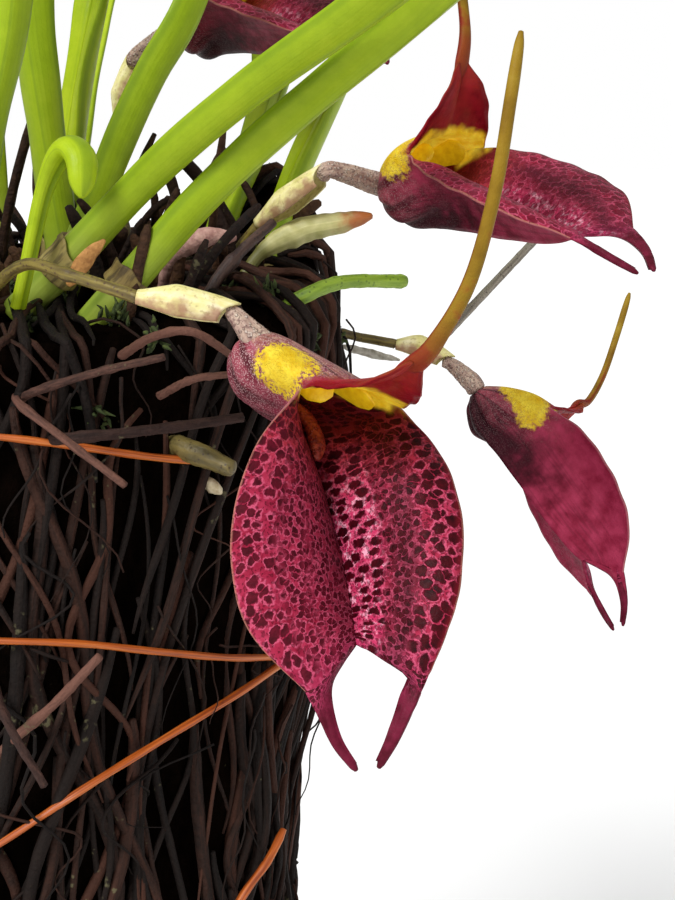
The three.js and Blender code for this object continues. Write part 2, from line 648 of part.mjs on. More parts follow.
// A thin plate from a grid of points, half its thickness to each side of the grid
function plate(grid, thickness) {
  const rows = grid.length;
  const columns = grid[0].length;
  const normals = grid.map((line, r) => line.map((_, c) => {
    const along = grid[Math.min(r + 1, rows - 1)][c].clone().sub(grid[Math.max(r - 1, 0)][c]);
    const over = line[Math.min(c + 1, columns - 1)].clone().sub(line[Math.max(c - 1, 0)]);
    return over.cross(along).normalize();
  }));
  const face = (side) => grid.map((line, r) => line.map((p, c) => p.clone()
    .addScaledVector(normals[r][c], (side * thickness) / 2)));
  const front = face(1);
  const back = face(-1);
  const rings = grid.map((_, r) => [...front[r], ...back[r].slice().reverse()]);
  const positions = rings.flat().flatMap((p) => [p.x, p.y, p.z]);
  const sides = 2 * columns;
  const index = [];
  for (let r = 0; r < rows - 1; r += 1) {
    for (let i = 0; i < sides; i += 1) {
      const a = r * sides + i;
      const b = r * sides + ((i + 1) % sides);
      const c = b + sides;
      const d = a + sides;
      if (i < columns) {
        index.push(a, b, c, a, c, d);
      } else {
        index.push(a, b, d, b, c, d);
      }
    }
  }
  for (const [r, start] of [[0, true], [rows - 1, false]]) {
    for (let i = 0; i < columns - 1; i += 1) {
      const a = r * sides + i;
      const b = r * sides + i + 1;
      const c = r * sides + (sides - 2 - i);
      const d = r * sides + (sides - 1 - i);
      if (start) {
        index.push(a, c, b, a, d, c);
      } else {
        index.push(a, b, c, a, c, d);
      }
    }
  }
  const geometry = new THREE.BufferGeometry();
  geometry.setAttribute('position', new THREE.Float32BufferAttribute(positions, 3));
  geometry.setIndex(index);
  return solidOf(geometry);
}

function lowerSepals(flower) {
  const rows = [0.33, 0.41, 0.5, 0.61, 0.73, 0.84, 0.93, 1];
  const columns = [-1, -0.74, -0.46, -0.2, 0, 0.2, 0.46, 0.74, 1];
  return plate(rows.map((row) => columns.map((c) => placed(sepalPoint(row, c), flower))), SEPAL_THICKNESS);
}

// The tube is a closed cup, hollowed from the throat.
function tubeRing(row, flower, scale) {
  const below = steps(-1, 1, 6).map((c) => sepalPoint(row, c));
  const above = steps(1, -1, 6).slice(1, -1).map((c) => tubeTopPoint(row, c));
  const ring = [...below, ...above];
  const centre = ring.reduce((sum, p) => sum.add(p), new THREE.Vector3()).divideScalar(ring.length);
  return ring.map((p) => placed(p.clone().sub(centre).multiplyScalar(scale).add(centre), flower));
}

function tubeSolid(flower) {
  const outer = [0, 0.1, 0.2, 0.3, 0.385].map((row) => tubeRing(row, flower, 1));
  const inner = [0.11, 0.2, 0.3, 0.385].map((row) => tubeRing(row, flower, 0.82));
  const beyond = inner[inner.length - 1].map((p, i) => p.clone()
    .add(p.clone().sub(inner[inner.length - 2][i]).multiplyScalar(1.5)));
  return solidOf(loft(outer)).subtract(solidOf(loft([...inner, beyond])));
}

// The upper sepal's free blade: a small triangle that narrows quickly into its long tail
const BLADE_EDGE = [[5, 3.4, 0.2], [4.2, 7, 1.4], [2.6, 10.4, 2.2], [1, 12.8, 1.5]];
const BLADE_MIDDLE = [[0, 5, -0.6], [0, 7.8, 0.2], [0, 10.4, 0.8], [0, 12.8, 0.9]];

function upperSepal(flower) {
  const edge = rail(BLADE_EDGE);
  const middle = rail(BLADE_MIDDLE);
  const grid = steps(0, 1, 3).map((row) => steps(-1, 1, 4).map((across) => {
    const e = edge.getPoint(row);
    const m = middle.getPoint(row);
    const share = Math.abs(across);
    const point = m.clone().lerp(e, share);
    point.z += 0.35 * (1 - share) * share * (1 - row);
    point.x *= Math.sign(across) || 1;
    return placed(point, flower);
  }));
  return plate(grid, SEPAL_THICKNESS);
}

function tailSolids(flower) {
  const upper = flower.tail.map(([x, y, z]) => placed(new THREE.Vector3(x, y, z), flower));
  const start = placed(new THREE.Vector3(0, 11, 0.9), flower);
  const upperRadii = [[0, 0.9], [0.12, 0.95], [0.5, 0.7], [1, 0.45]];
  const lowerRadii = [[0, 0.5], [0.3, 1.05], [0.5, 0.75], [1, 0.4]];
  const tails = [stalkSolid([start, ...upper], upperRadii, { sides: 5 })];
  for (const side of [-1, 1]) {
    const lower = [[5.6, 0.8, 21.5], [4.3, 0, 25.4], [3.4, -0.9, 28.2], [1.5, -2, 32]]
      .map(([x, y, z]) => placed(new THREE.Vector3(side * x, y, z), flower));
    tails.push(stalkSolid(lower, lowerRadii, { sides: 5, stations: 5 }));
  }
  return tails;
}

function makePerianth(flower) {
  const whole = joined([tubeSolid(flower), lowerSepals(flower), upperSepal(flower), ...tailSolids(flower)]);
  addPiece(`flower_${flower.name}_perianth`, largestBody(whole), PETAL_CRIMSON);
}

// Column and lip: one small hooked body inside the tube, with the tongue lying over the keel
function makeLip(flower) {
  const points = [[0.6, -2.4], [-1, -4.4], [-2.6, -4.8], [-3.4, -3.2], [-2.7, -0.5], [-2, 2], [-1.7, 4]]
    .map(([y, z]) => placed(new THREE.Vector3(0, y, z), flower));
  const radii = [[0, 0.5], [0.35, 0.45], [0.7, 0.45], [0.9, 0.65], [1, 0.35]];
  addPiece(`flower_${flower.name}_lip`, stalkSolid(points, radii, { stations: 9 }), LIP_ORANGE);
}

function makeOvary(flower) {
  const [previous, last] = flower.bract.slice(-2);
  const heading = last.clone().sub(previous).normalize();
  const start = last.clone().addScaledVector(heading, GAP + 0.1);
  const end = placed(new THREE.Vector3(0, -3.5, -7.2 - GAP - 0.25), flower);
  const before = placed(new THREE.Vector3(0, -3.5, -9), flower);
  const points = [start, start.clone().addScaledVector(heading, 1), before, end];
  const radii = [[0, 0.8], [0.35, 1.4], [0.75, 1.55], [1, 1.2]];
  addPiece(`flower_${flower.name}_ovary`, stalkSolid(points, radii, { sides: 8, stations: 4 }), OVARY_MAUVE);
}

function makeBract(flower) {
  const radii = [[0, 0.75], [0.2, 1.2], [0.6, 1.35], [1, 1]];
  const solid = stalkSolid(flower.bract, radii, { sides: 7, stations: 4 });
  addPiece(`flower_${flower.name}_bract`, solid, BRACT_CREAM);
}

// A stalk whose first point is its root in the ball
function makeRootedStalk(name, points, radii, material) {
  const heading = points[1].clone().sub(points[0]).normalize();
  addPiece(name, stalkSolid(points, radii, { stations: 7 }), material);
  const start = points[0].clone().addScaledVector(heading, -GAP);
  const length = points[1].distanceTo(points[0]) + 3.5;
  ballCuts.push(holeSolid(start, heading, length, radii[0][1] + GAP + 0.15));
}

function makeFlowers() {
  for (const flower of FLOWERS) {
    makeRootedStalk(`flower_${flower.name}_stalk`, flower.stalk,
      [[0, STALK_RADIUS], [1, STALK_RADIUS]], STALK_OLIVE);
    makeBract(flower);
    makeOvary(flower);
    makePerianth(flower);
    makeLip(flower);
  }
}

// Spent stalks, a bud, a cut stem and a dry bract among the flowers, each from its root in the ball
const SMALL_STEMS = [
  { name: 'old_stalk_1', material: DRY_BROWN, radii: [[0, 0.7], [1, 0.55]],
    points: [at(-14.5, 9, -27), at(-13.3, 15.7, -27), at(-10.3, 20.2, -28.5), at(-6.8, 24, -32)] },
  { name: 'old_stalk_2', material: DRY_BROWN, radii: [[0, 0.7], [1, 0.55]],
    points: [at(-5.5, -5, -54), at(-0.5, 0, -58.5), at(12.1, 13, -72), at(26.9, 28.6, -85)] },
  { name: 'bud', material: GREEN_STEM, radii: [[0, 0.6], [0.4, 0.7], [0.6, 1.5], [0.85, 1.3], [1, 0.5]],
    points: [at(-12.5, 13, -35), at(-9, 20.5, -36.5), at(-4.1, 23.6, -36.5), at(0.3, 24.5, -36),
      at(3.7, 25.2, -35.5)] },
  { name: 'cut_stem', material: GREEN_STEM, radii: [[0, 0.8], [1, 0.8]],
    points: [at(-8.5, 13.5, -31), at(-3.8, 15.6, -27), at(0.5, 17.4, -29), at(7.2, 17.9, -33)] },
  { name: 'dry_bract', material: DRY_BROWN, radii: [[0, 0.6], [0.4, 0.7], [0.7, 1.1], [1, 0.5]],
    points: [at(-19, 15, -33), at(-17.3, 19.5, -29), at(-14, 21.7, -27), at(-10.5, 21.9, -28)] },
];

function makeSmallStems() {
  for (const { name, points, radii, material } of SMALL_STEMS) {
    makeRootedStalk(name, points, radii, material);
  }
}

// Dry pine needles: one pair from one sheath, and two single ones, each in a shallow bed on the ball. Their
// points are given as an angle round the ball, in degrees from +X, and a height.
const NEEDLES = [
  { name: 'needle_pair', parts: [
    [[-22, 113.3], [-42.7, 116], [-59.9, 118.6], [-73.7, 120.6], [-87.3, 121.5], [-101, 121]],
    [[-22, 113.3], [-39.3, 111.7], [-59.2, 108.5], [-74.3, 105.6], [-88.9, 100.4], [-99, 96.8]],
  ] },
  { name: 'needle_1', parts: [[[-47, 137.2], [-60.6, 138.5], [-72.9, 140], [-86.2, 141.2], [-99, 141.6]]] },
  { name: 'needle_2', parts: [[[-27, 94.5], [-33, 92.2], [-40.9, 88.7], [-49, 84], [-57, 78]]] },
];

function onBall(angleInDegrees, z, lift) {
  const angle = THREE.MathUtils.degToRad(angleInDegrees);
  const r = ballRadius(z) + ballLump(angle, z) + lift;
  return new THREE.Vector3(r * Math.cos(angle), r * Math.sin(angle), z);
}

function makeNeedles() {
  for (const { name, parts } of NEEDLES) {
    const paths = parts.map((part) => part.map(([angle, z]) => onBall(angle, z, NEEDLE_RADIUS)));
    const around = (radius) => paths.map((points) => stalkSolid(points,
      [[0, radius], [1, radius - 0.15]], { sides: 5, stations: 7 }));
    addPiece(name, joined(around(NEEDLE_RADIUS)), NEEDLE_ORANGE);
    ballCuts.push(...around(NEEDLE_RADIUS + GAP + 0.15));
  }
}

makePot();
makeMix();
makeLeaves();
makeFlowers();
makeSmallStems();
makeNeedles();
makeRootBall();

export default plant;
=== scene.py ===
# Looks of a potted masdevallia: fine leaves, spotted flowers, roots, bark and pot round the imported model.
import math
import bpy
import numpy as np
from mathutils import Euler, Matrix
from mathutils.geometry import tessellate_polygon


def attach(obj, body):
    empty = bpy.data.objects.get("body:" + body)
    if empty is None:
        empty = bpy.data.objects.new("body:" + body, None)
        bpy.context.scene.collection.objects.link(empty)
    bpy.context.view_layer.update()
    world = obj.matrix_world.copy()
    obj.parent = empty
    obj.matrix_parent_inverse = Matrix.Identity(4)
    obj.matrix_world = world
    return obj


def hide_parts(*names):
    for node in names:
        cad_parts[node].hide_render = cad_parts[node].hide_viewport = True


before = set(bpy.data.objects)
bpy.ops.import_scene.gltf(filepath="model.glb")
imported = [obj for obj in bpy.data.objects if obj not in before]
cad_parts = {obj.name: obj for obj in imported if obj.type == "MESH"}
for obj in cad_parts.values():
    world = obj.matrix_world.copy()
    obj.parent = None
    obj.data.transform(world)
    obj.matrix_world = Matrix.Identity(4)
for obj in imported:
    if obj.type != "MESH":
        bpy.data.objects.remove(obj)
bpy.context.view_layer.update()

# Driving dimensions, in millimetres. A place on the plant is given as the photograph's camera sees it:
# how far to the right, up and near of the middle of its view.

MM = 0.001

VIEW_ELEVATION = math.radians(10)
VIEW_MIDDLE = np.array([34.0, -45.0, 142.0])
VIEW_RIGHT = np.array([1.0, 0.0, 0.0])
VIEW_UP = np.array([0.0, math.sin(VIEW_ELEVATION), math.cos(VIEW_ELEVATION)])
VIEW_NEAR = np.array([0.0, -math.cos(VIEW_ELEVATION), math.sin(VIEW_ELEVATION)])
CAMERA_DISTANCE = 150.0
CAMERA_LENS = 69.0
CAMERA_SENSOR = 36.0
SOFT_LIGHT = 0.55
KEY_LIGHT = 3.0
FLOOR_HALF_WIDTH = 12000.0

# Pot and potting mix, each outline as radius and height

POT_OUTLINE = [(31.0, 0.0), (31.7, 0.3), (32.05, 1.1), (39.85, 45.4), (40.1, 45.9), (42.3, 46.0),
               (43.1, 46.35),
               (43.55, 47.1), (44.95, 58.3), (44.8, 59.4), (44.0, 60.0), (42.2, 60.0), (41.3, 59.5),
               (41.0, 58.5), (28.3, 6.2), (27.6, 5.2), (27.0, 5.0)]
POT_HEIGHT = 60
POT_FLOOR = 5
POT_INSIDE = [(POT_FLOOR, 28), (58.5, 41)]
DRAIN_RADIUS = 5
DRAIN_CIRCLE = 18
DRAIN_COUNT = 3
DRAIN_EDGE = [(0.5, 0.0), (0.15, 0.15), (0.0, 0.5), (0.0, POT_FLOOR - 0.5), (0.15, POT_FLOOR - 0.15),
              (0.5, POT_FLOOR)]
MIX_LEVEL = 53
MIX_TOP = MIX_LEVEL - 2.5
MIX_GAP = 0.4
CHIP_LAYERS = [130, 170]

# Root ball

BALL_RADIUS_BY_HEIGHT = [(22, 25), (50, 28.5), (60, 29), (100, 29.5), (115, 30.5), (130, 32), (145, 33.5),
                         (152, 34)]
BALL_SMOOTH_BELOW = 60
BALL_SHOULDER = 150
BALL_CROWN = 154.5
BALL_EDGE_DROP = [(0, 0), (0.5, 0), (0.78, 0.1), (0.91, 0.8), (0.98, 2.4), (1, 4.5)]
CORE_DEPTH = 1.1
ROOT_KINDS = [
    dict(count=360, start=(-4, 80), length=(25, 85), end=104, drift=(-20, 30), wander=(1.5, 8),
         lift=(-0.8, 0.5),
         spread=(0.1, 0.45), stations=34, sides=7, radii=[0.26, 0.36, 0.46, 0.56, 0.7], radius=(0.9, 1.1),
         taper=[(0, 0.6), (0.1, 1), (0.8, 0.9), (1, 0.35)], wobble=0.12, groups=(0, 1)),
    dict(count=170, start=(-24, -4), length=(14, 50), end=104, drift=(0, 45), wander=(1, 6), lift=(-0.3, 0.9),
         spread=(0.2, 0.7), stations=30, sides=7, radii=[1], radius=(0.35, 0.62),
         taper=[(0, 0.5), (0.1, 1), (0.8, 0.9), (1, 0.3)], wobble=0, groups=(2, 2)),
    dict(count=180, start=(-6, 85), length=(8, 26), end=128, drift=(0, 60), wander=(2, 8), lift=(0.2, 1.4),
         spread=(0.3, 1.0), stations=16, sides=5, radii=[1], radius=(0.12, 0.24),
         taper=[(0, 1), (1, 0.4)], wobble=0, groups=(2, 2)),
]
OLD_STALK_COUNT = 110
OLD_STALK_REACH = 29
MOSS_TUFTS = 34
MOSS_SHOOTS = 22

# Twigs: line, radius and tone
TWIGS = [
    ([(-32, 4, -22), (-28.8, 5.2, -11), (-22, 7, -6.5), (-15.5, 8.3, -4)], 0.42, 0.5),
    ([(-31, 6, -24), (-30, 4.6, -11.5), (-24.8, 0.9, -7.5), (-19.2, -3.2, -6)], 0.42, 0.75),
    ([(-30, 1, -26), (-26, 1, -11), (-18, 1.8, -11), (-9, 3.1, -14)], 0.55, 0.2),
    ([(-20.5, 9, -14), (-16.8, 10.4, -8), (-13.1, 10.7, -6.5), (-9.3, 8.4, -9)], 0.42, 1.0),
    ([(-17, 5.2, -15), (-13.4, 6.5, -9), (-9.6, 6.9, -7)], 0.38, 0.9),
    ([(-34, -22, -20), (-31, -25, -11), (-27, -31, -9)], 0.45, 0.3),
    ([(-36, -33, -23), (-31.5, -28.2, -17.5), (-27, -24.2, -15.5), (-22.6, -19.6, -14)], 0.5, 0.95),
]
YELLOW_STUB = [(-19, 0, -34), (-16, 0.5, -19), (-10.1, -1.8, -15)]

# Leaves

LEAF_BASE_HALF_WIDTH = 1.9
LEAF_ROOT_DEPTH = 7
LEAF_HALF_WIDTH = [(0, 1), (0.15, 1), (0.35, 1.15), (0.5, 1.5), (0.62, 2.3), (0.74, 3.2), (0.84, 3.45),
                   (0.92, 2.9),
                   (0.97, 1.9), (0.99, 1.15), (1, 0.5)]
LEAF_THICKNESS = [(0, 2.8), (0.2, 2.5), (0.5, 1.8), (0.75, 1.4), (1, 0.8)]
LEAF_FOLD = [(0, 0.1), (0.15, 0.2), (0.3, 0.45), (0.6, 0.35), (0.9, 0.22), (1, 0.15)]
LEAF_KEEL_DEPTH = 0.4
LEAF_GROOVE_DEPTH = 0.3
LEAF_WAVE = 0.25
SHEATH_THICKNESS = 0.18
SEEN_LEAVES = [
    [(-27.2, 18, -20), (-17.9, 26.3, -15), (-8, 32.8, -8), (5.4, 40, 2), (16, 50, 7), (28, 64, 9),
     (38, 80, 7)],
    [(-20.5, 16.5, -19), (-13.2, 24, -16), (-4.5, 31, -12), (8.3, 40, -5), (18, 49, -4), (29, 58, -5),
     (42, 67, -8)],
    [(-27.5, 20, -30), (-23.3, 30, -28.5), (-19.1, 38.3, -27), (-15, 45.1, -26), (-11, 58, -27),
     (-8, 74, -31),
     (-7, 92, -38)],
    [(-29.6, 20.5, -37), (-31, 33, -34), (-32, 42.3, -32), (-33.5, 58, -31), (-36, 76, -33), (-40, 95, -38)],
    [(-31.5, 22, -46), (-30, 36, -45), (-27.4, 49.8, -44), (-25, 64, -46), (-24, 82, -51), (-25, 100, -60)],
    [(-36.5, 18, -19.5), (-34.5, 30, -18), (-31.5, 43, -16), (-31, 58, -14), (-34, 78, -12), (-41, 97, -13)],
    [(-15.5, 18, -41), (-12.5, 28, -48), (-9.5, 37, -57), (-7, 50, -66), (-6, 65, -73), (-8, 82, -82)],
    [(-9.5, 18.5, -44), (-5.5, 30, -48), (-1, 41, -54), (4, 53, -61), (12, 65, -68), (24, 77, -76)],
]

# The leaves of the other side: x and y on the crown, the way and angle each leans, and its length
HIDDEN_LEAVES = [(-9, -17, 215, 33, 104), (-14, -6, 178, 38, 112), (-8, 3, 150, 22, 108),
                 (-15, 9, 132, 42, 100), (-7, 15, 106, 34, 106), (0, 23, 82, 48, 98),
                 (-20, -15, 236, 52, 88), (-10, -26, 250, 42, 90)]
YOUNG_LEAF = [(-29.8, 17.5, -15.5), (-28, 25, -15), (-25.8, 28.4, -13), (-24, 27.2, -11.5),
              (-23.8, 23.5, -10.5)]

# Flowers. In a flower's own frame x runs across it, y from the keel of the lower sepals out through
# the throat, and z from the throat towards the lower tails.

SEPAL_THICKNESS = 0.55
KEEL = [(0, -4.6, -6.9), (0, -5.6, -5.6), (0, -6.2, -3), (0, -5.2, 0), (0, -4.5, 5), (0, -3.9, 10),
        (0, -3.1, 15),
        (0, -2.2, 18.5), (0, -1.3, 20.5)]
MARGIN = [(1.2, -3.4, -7.2), (3, -1.9, -5.7), (4.6, 0.6, -3.1), (5.3, 3, 0), (8.2, 3.2, 4.5), (9.5, 2.9, 9.5),
          (9.6, 2.5, 14.5), (8.35, 1.7, 19.5), (4.4, 0.2, 24.5)]
DORSAL = [(0, -1.8, -7.2), (0, 0.8, -5.4), (0, 3.4, -2.8), (0, 5, -0.2)]
BLADE_EDGE = [(5, 3.4, 0.2), (4.2, 7, 1.4), (2.6, 10.2, 2.1), (0.6, 13, 1.1)]
BLADE_MIDDLE = [(0, 5, -0.6), (0, 7.8, 0.2), (0, 10.4, 0.8), (0, 12.8, 0.9)]
LOWER_TAIL = [(3.6, 0.1, 23.8), (3.1, -0.3, 26), (2.45, -1, 28.6), (1.1, -2, 31)]
WEB_INNER = [(0, -1.3, 20.5), (1.3, -0.95, 22.1), (2.35, -0.6, 23.8), (2.5, -0.6, 25.7), (2, -1.05, 28.3),
             (1, -1.85, 30.4)]
WEB_OUTER = [(4.4, 0.2, 24.5), (4.15, 0.1, 25.2), (3.8, -0.05, 26), (3.4, -0.35, 27.2), (2.8, -1, 28.8),
             (1.4, -1.85, 30.6)]
TONGUE = [(0, 0.6, -2.4), (0, -1, -4.4), (0, -2.6, -4.8), (0, -3.4, -3.2), (-0.2, -2.7, -0.5), (-0.6, -2, 2),
          (-1, -1.7, 4)]
THROAT_ROW = 3
THROAT = THROAT_ROW / (len(KEEL) - 1)
TWIST_LENGTH = 24.5
TWIST_POWER = 1.65
TUBE_LENGTH = 7
TUBE_RIDGES = 3
RIDGE_HEIGHT = 0.28
BRACT_THICKNESS = 0.14
GAP = 0.3

# How far the right-hand tail, and the edge between the tails, sway to the right at each height
TAIL_SWAY = [(16, 0), (19, 0.15), (21, 0.45), (22.6, 0.85), (24.2, 1.2), (26.6, 1), (29, 0), (32, -0.6)]
GAP_SWAY = [(20.5, 0), (22.1, 1.5), (23.8, 2.1), (25.7, 0.9), (28.3, 0), (30.4, -0.4)]

FLOWERS = [
    dict(name="1", middle=(-0.5, 3.4, 0), across=(0.983, 0.144, 0.117), outward=(-0.162, 0.356, 0.92), size=1,
         twist=45, lean=(-3.4, -1.6), sway=1, faint=0, patch=(-4.4, 2, -2.6), patch_size=(2.8, 2.8, 3),
         tail=[(0, 12.6, 1), (-0.5, 15.5, 0.4), (-1.6, 20.9, -3), (-7.4, 24.3, -8.4), (-9.5, 27.5, -14.2),
               (-10.5, 29.6, -19)],
         bract=[(-17.4, 13.2, 0), (-13.7, 12.7, 0.2), (-9.6, 11.8, 0.2)],
         ovary_end=(-6.4, 8.8, -0.3),
         stalk=[(-35, 14, -17), (-29.1, 17, -9), (-23.9, 15.6, -4), (-17.8, 13.4, -0.2)]),
    dict(name="2", middle=(11.2, 28.3, -30), across=(0.804, 0.174, -0.569), outward=(0.069, 0.923, 0.379),
         size=0.95, twist=0, lean=(-1.6, 0.8), sway=0, faint=0.5, patch=(-2.8, 2.4, -3.6),
         patch_size=(3.8, 3.2, 4),
         tail=[(0, 12.6, 1), (0.9, 16, 0), (2, 21, -2), (3, 27, -4), (3.6, 33, -4), (4, 39, -3)],
         bract=[(-8.6, 24.4, -37), (-5.1, 26.8, -35), (-1.6, 28.9, -32.4)],
         stalk=[(-16, 14, -33), (-12, 20.5, -38.5), (-8.9, 24, -37.2)]),
    dict(name="3", middle=(21.8, 2.4, -60), across=(-0.451, -0.343, -0.817), outward=(0.74, 0.36, -0.56),
         size=0.86, twist=0, lean=(0, 0.8), sway=0, faint=0.5, patch=(-3.7, 0.6, -3.6),
         patch_size=(3.2, 3.2, 4.6),
         tail=[(0, 12.4, 0.6), (0.6, 15.1, 1), (0.3, 19.7, -1.4), (-1, 24.5, -5.7), (-3.2, 29, -10.3)],
         bract=[(7.2, 12.9, -62), (10, 12.5, -61.8), (13, 10.9, -61.2)],
         stalk=[(-8, 14, -52), (-2, 14.6, -60), (3, 13.8, -62), (6.8, 13.1, -62)]),
    dict(name="4", middle=(-13.2, 52, -53), across=(0.8, 0.2, -0.57), outward=(0.05, 0.93, 0.37),
         size=0.95, twist=0, lean=(-0.8, 0), sway=0, faint=0.5, patch=(-2, 2.2, -3.2),
         patch_size=(3.2, 3.2, 3),
         tail=[(0, 12.4, 0.8), (0, 16, 0), (0, 20.5, -2.5), (0, 25.5, -5), (0, 30.5, -6), (0, 35, -5)],
         bract=[(-26.6, 40.5, -60), (-26, 43, -59.8), (-24.7, 46.6, -59)],
         stalk=[(-22.5, 10, -42), (-23.5, 21.5, -47), (-26, 31, -54), (-26.8, 39.6, -59.7)]),
]
PEDUNCLE = [(0, 0.72), (0.3, 0.58), (0.62, 0.56), (0.66, 0.7), (0.7, 0.56), (1, 0.6)]

# Small stems: node, piece, line, radii, look, slot, how rough, sides and stations
SMALL_STEMS = [
    ("old_stalk_1", "old_stalk_1_fine", [(-14.5, 9, -27), (-13.3, 15.7, -27), (-10.3, 20.2, -28.5),
                                         (-6.8, 24, -32)],
     [(0, 0.7), (0.5, 0.62), (0.62, 0.8), (0.66, 0.6), (1, 0.5)], "dark", "dry_stem", 0.07, 14, 60),
    ("old_stalk_2", "old_stalk_2_fine", [(-5.5, -5, -54), (-0.5, 0, -58.5), (12.1, 13, -72),
                                         (26.9, 28.6, -85)],
     [(0, 0.7), (0.4, 0.62), (0.44, 0.8), (0.48, 0.62), (1, 0.55)], "grey", "dry_stem", 0.07, 14, 60),
    ("cut_stem", "cut_stem_fine", [(-8.5, 13.5, -31), (-3.8, 15.6, -27), (0.5, 17.4, -29), (7.2, 17.9, -33)],
     [(0, 0.8), (0.85, 0.72), (0.97, 0.8), (1, 0.6)], "green", "green_stem", 0.07, 14, 60),
    ("bud", "bud_in_bract", [(-12.5, 13, -35), (-9, 20.5, -36.5), (-4.1, 23.6, -36.5), (0.3, 24.5, -36),
                             (3.7, 25.2, -35.5)],
     [(0, 0.6), (0.4, 0.7), (0.5, 1.1), (0.6, 1.45), (0.85, 1.2), (0.96, 0.7), (1, 0.3)], "bud", "green_stem",
     0.08, 20, 70),
    ("dry_bract", "withered_bract", [(-19, 15, -33), (-17.3, 19.5, -29), (-14, 21.7, -27),
                                     (-10.5, 21.9, -28)],
     [(0, 0.55), (0.4, 0.65), (0.55, 0.95), (0.75, 1.1), (0.92, 0.8), (1, 0.3)], "dry", "dry_stem",
     0.14, 20, 60),
]

# Dry bits: name, line, half width, flatness, dark and light colour
SCRAPS = [
    ("dry_sheath_strip", [(-25.8, 15.8, -15.5), (-24, 18.2, -14.6), (-22.2, 20, -14.4)], 0.8, 0.3, "8c5a26",
     "c8914e"),
    ("pale_chip", [(-13.4, -2.9, -20.6), (-12.4, -3.5, -20.3), (-11.5, -4.3, -20.6)], 1.1, 0.55, "a8946c",
     "e0d4b4"),
    ("torn_bract", [(0.6, 12.7, -60.3), (4, 11.8, -61), (7.6, 11, -61)], 0.9, 0.4, "8d8470", "d8d3c4"),
]

# Needles, each point as an angle round the ball in degrees and a height
NEEDLES = {
    "needle_pair": [[(-22, 113.3), (-42.7, 116), (-59.9, 118.6), (-73.7, 120.6), (-87.3, 121.5), (-101, 121)],
                    [(-22, 113.3), (-39.3, 111.7), (-59.2, 108.5), (-74.3, 105.6), (-88.9, 100.4),
                     (-99, 96.8)]],
    "needle_1": [[(-47, 137.2), (-60.6, 138.5), (-72.9, 140), (-86.2, 141.2), (-99, 141.6)]],
    "needle_2": [[(-27, 94.5), (-33, 92.2), (-40.9, 88.7), (-49, 84), (-57, 78)]],
}
NEEDLE_SHEATH = [(-20.5, 113.2), (-22, 113.3), (-27, 113.8)]
NEEDLE_RADIUS = 0.5
NEEDLE_LIFT = 1.1


# Small helpers

def direction(right, up, near):
    return right * VIEW_RIGHT + up * VIEW_UP + near * VIEW_NEAR


def seen(points):
    """Points of the model for points given as the camera sees them."""
    return [VIEW_MIDDLE + direction(*point) for point in points]


def evenly(count):
    return np.linspace(0, 1, count)


def turns(count):
    return np.linspace(0, 2 * math.pi, count, endpoint=False)


def around(angle):
    return np.stack([np.cos(angle), np.sin(angle), 0 * angle], axis=-1)


def turned(radius, angle, height):
    """Points at the given radii, angles and heights round the pot's axis."""
    x, y = radius * np.cos(angle), radius * np.sin(angle)
    return np.stack([x, y, height + 0 * x], axis=-1)


def unit(vectors):
    vectors = np.asarray(vectors, float)
    return vectors / np.maximum(np.linalg.norm(vectors, axis=-1, keepdims=True), 1e-12)


def smoothstep(value, low, high):
    share = np.clip((np.asarray(value, float) - low) / (high - low), 0, 1)
    return share * share * (3 - 2 * share)


def profile(pairs, position):
    places, values = zip(*pairs)
    return np.interp(position, places, values)


def smooth_profile(pairs, position):
    """Like profile, with rounded corners."""
    return np.mean([profile(pairs, np.clip(position + s * np.minimum(1, (1 - position) * 12), 0, 1))
                    for s in np.linspace(-0.03, 0.03, 7)], axis=0)


def smooth_curve(points, share):
    """Points of the smooth curve through the given points, share from 0 to 1 point by point."""
    points = np.asarray(points, float)
    padded = np.vstack([2 * points[0] - points[1], points, 2 * points[-1] - points[-2]])
    last = len(points) - 1
    place = np.clip(np.asarray(share, float) * last, 0, last)
    index = np.minimum(place.astype(int), last - 1)
    f = (place - index)[..., None]
    a, b, c, d = (padded[index + i] for i in range(4))
    return 0.5 * (2 * b + (c - a) * f + (2 * a - 5 * b + 4 * c - d) * f ** 2
                  + (3 * b - a - 3 * c + d) * f ** 3)


def lengths(points):
    """Length along each line of points, from its first point."""
    steps = np.linalg.norm(np.diff(points, axis=-2), axis=-1)
    return np.concatenate([0 * steps[..., :1], np.cumsum(steps, axis=-1)], axis=-1)


def even_path(points, share):
    """Points of the same curve, share from 0 to 1 along its length."""
    fine = evenly(400)
    length = lengths(smooth_curve(points, fine))
    return smooth_curve(points, np.interp(np.asarray(share) * length[-1], length, fine))


def frames_along(path, hint=None):
    """Tangent, normal and side vectors along a path, turning as little as they can."""
    tangents = unit(np.gradient(path, axis=0))
    normal = np.array([0.31, 0.57, 0.76]) if hint is None else np.asarray(hint, float)
    normals = []
    for tangent in tangents:
        normal = unit(normal - tangent * normal.dot(tangent))
        normals.append(normal)
    return tangents, np.array(normals), np.cross(tangents, normals)


def wavelet(points, size, seed=0.0):
    """A smooth repeatable noise of about -1 to 1 made of a few crossed waves."""
    x, y, z = np.moveaxis(np.asarray(points, float) / size, -1, 0)
    return (np.sin(1.7 * x + 2.3 * y + seed) + np.sin(2.9 * y - 1.3 * z + 2.1 * seed)
            + np.sin(2.1 * z + 1.9 * x - seed) + np.sin(3.7 * x - 2.7 * z + 1.3 * y + seed)) / 4


def lumps(depth, spread, size, seed=0.0):
    """Unevenness for a tube: depth as a share of its radius, the noise sampled spread round its line."""
    return lambda path, angle: depth * wavelet(path[:, None] + spread * around(angle), size, seed)


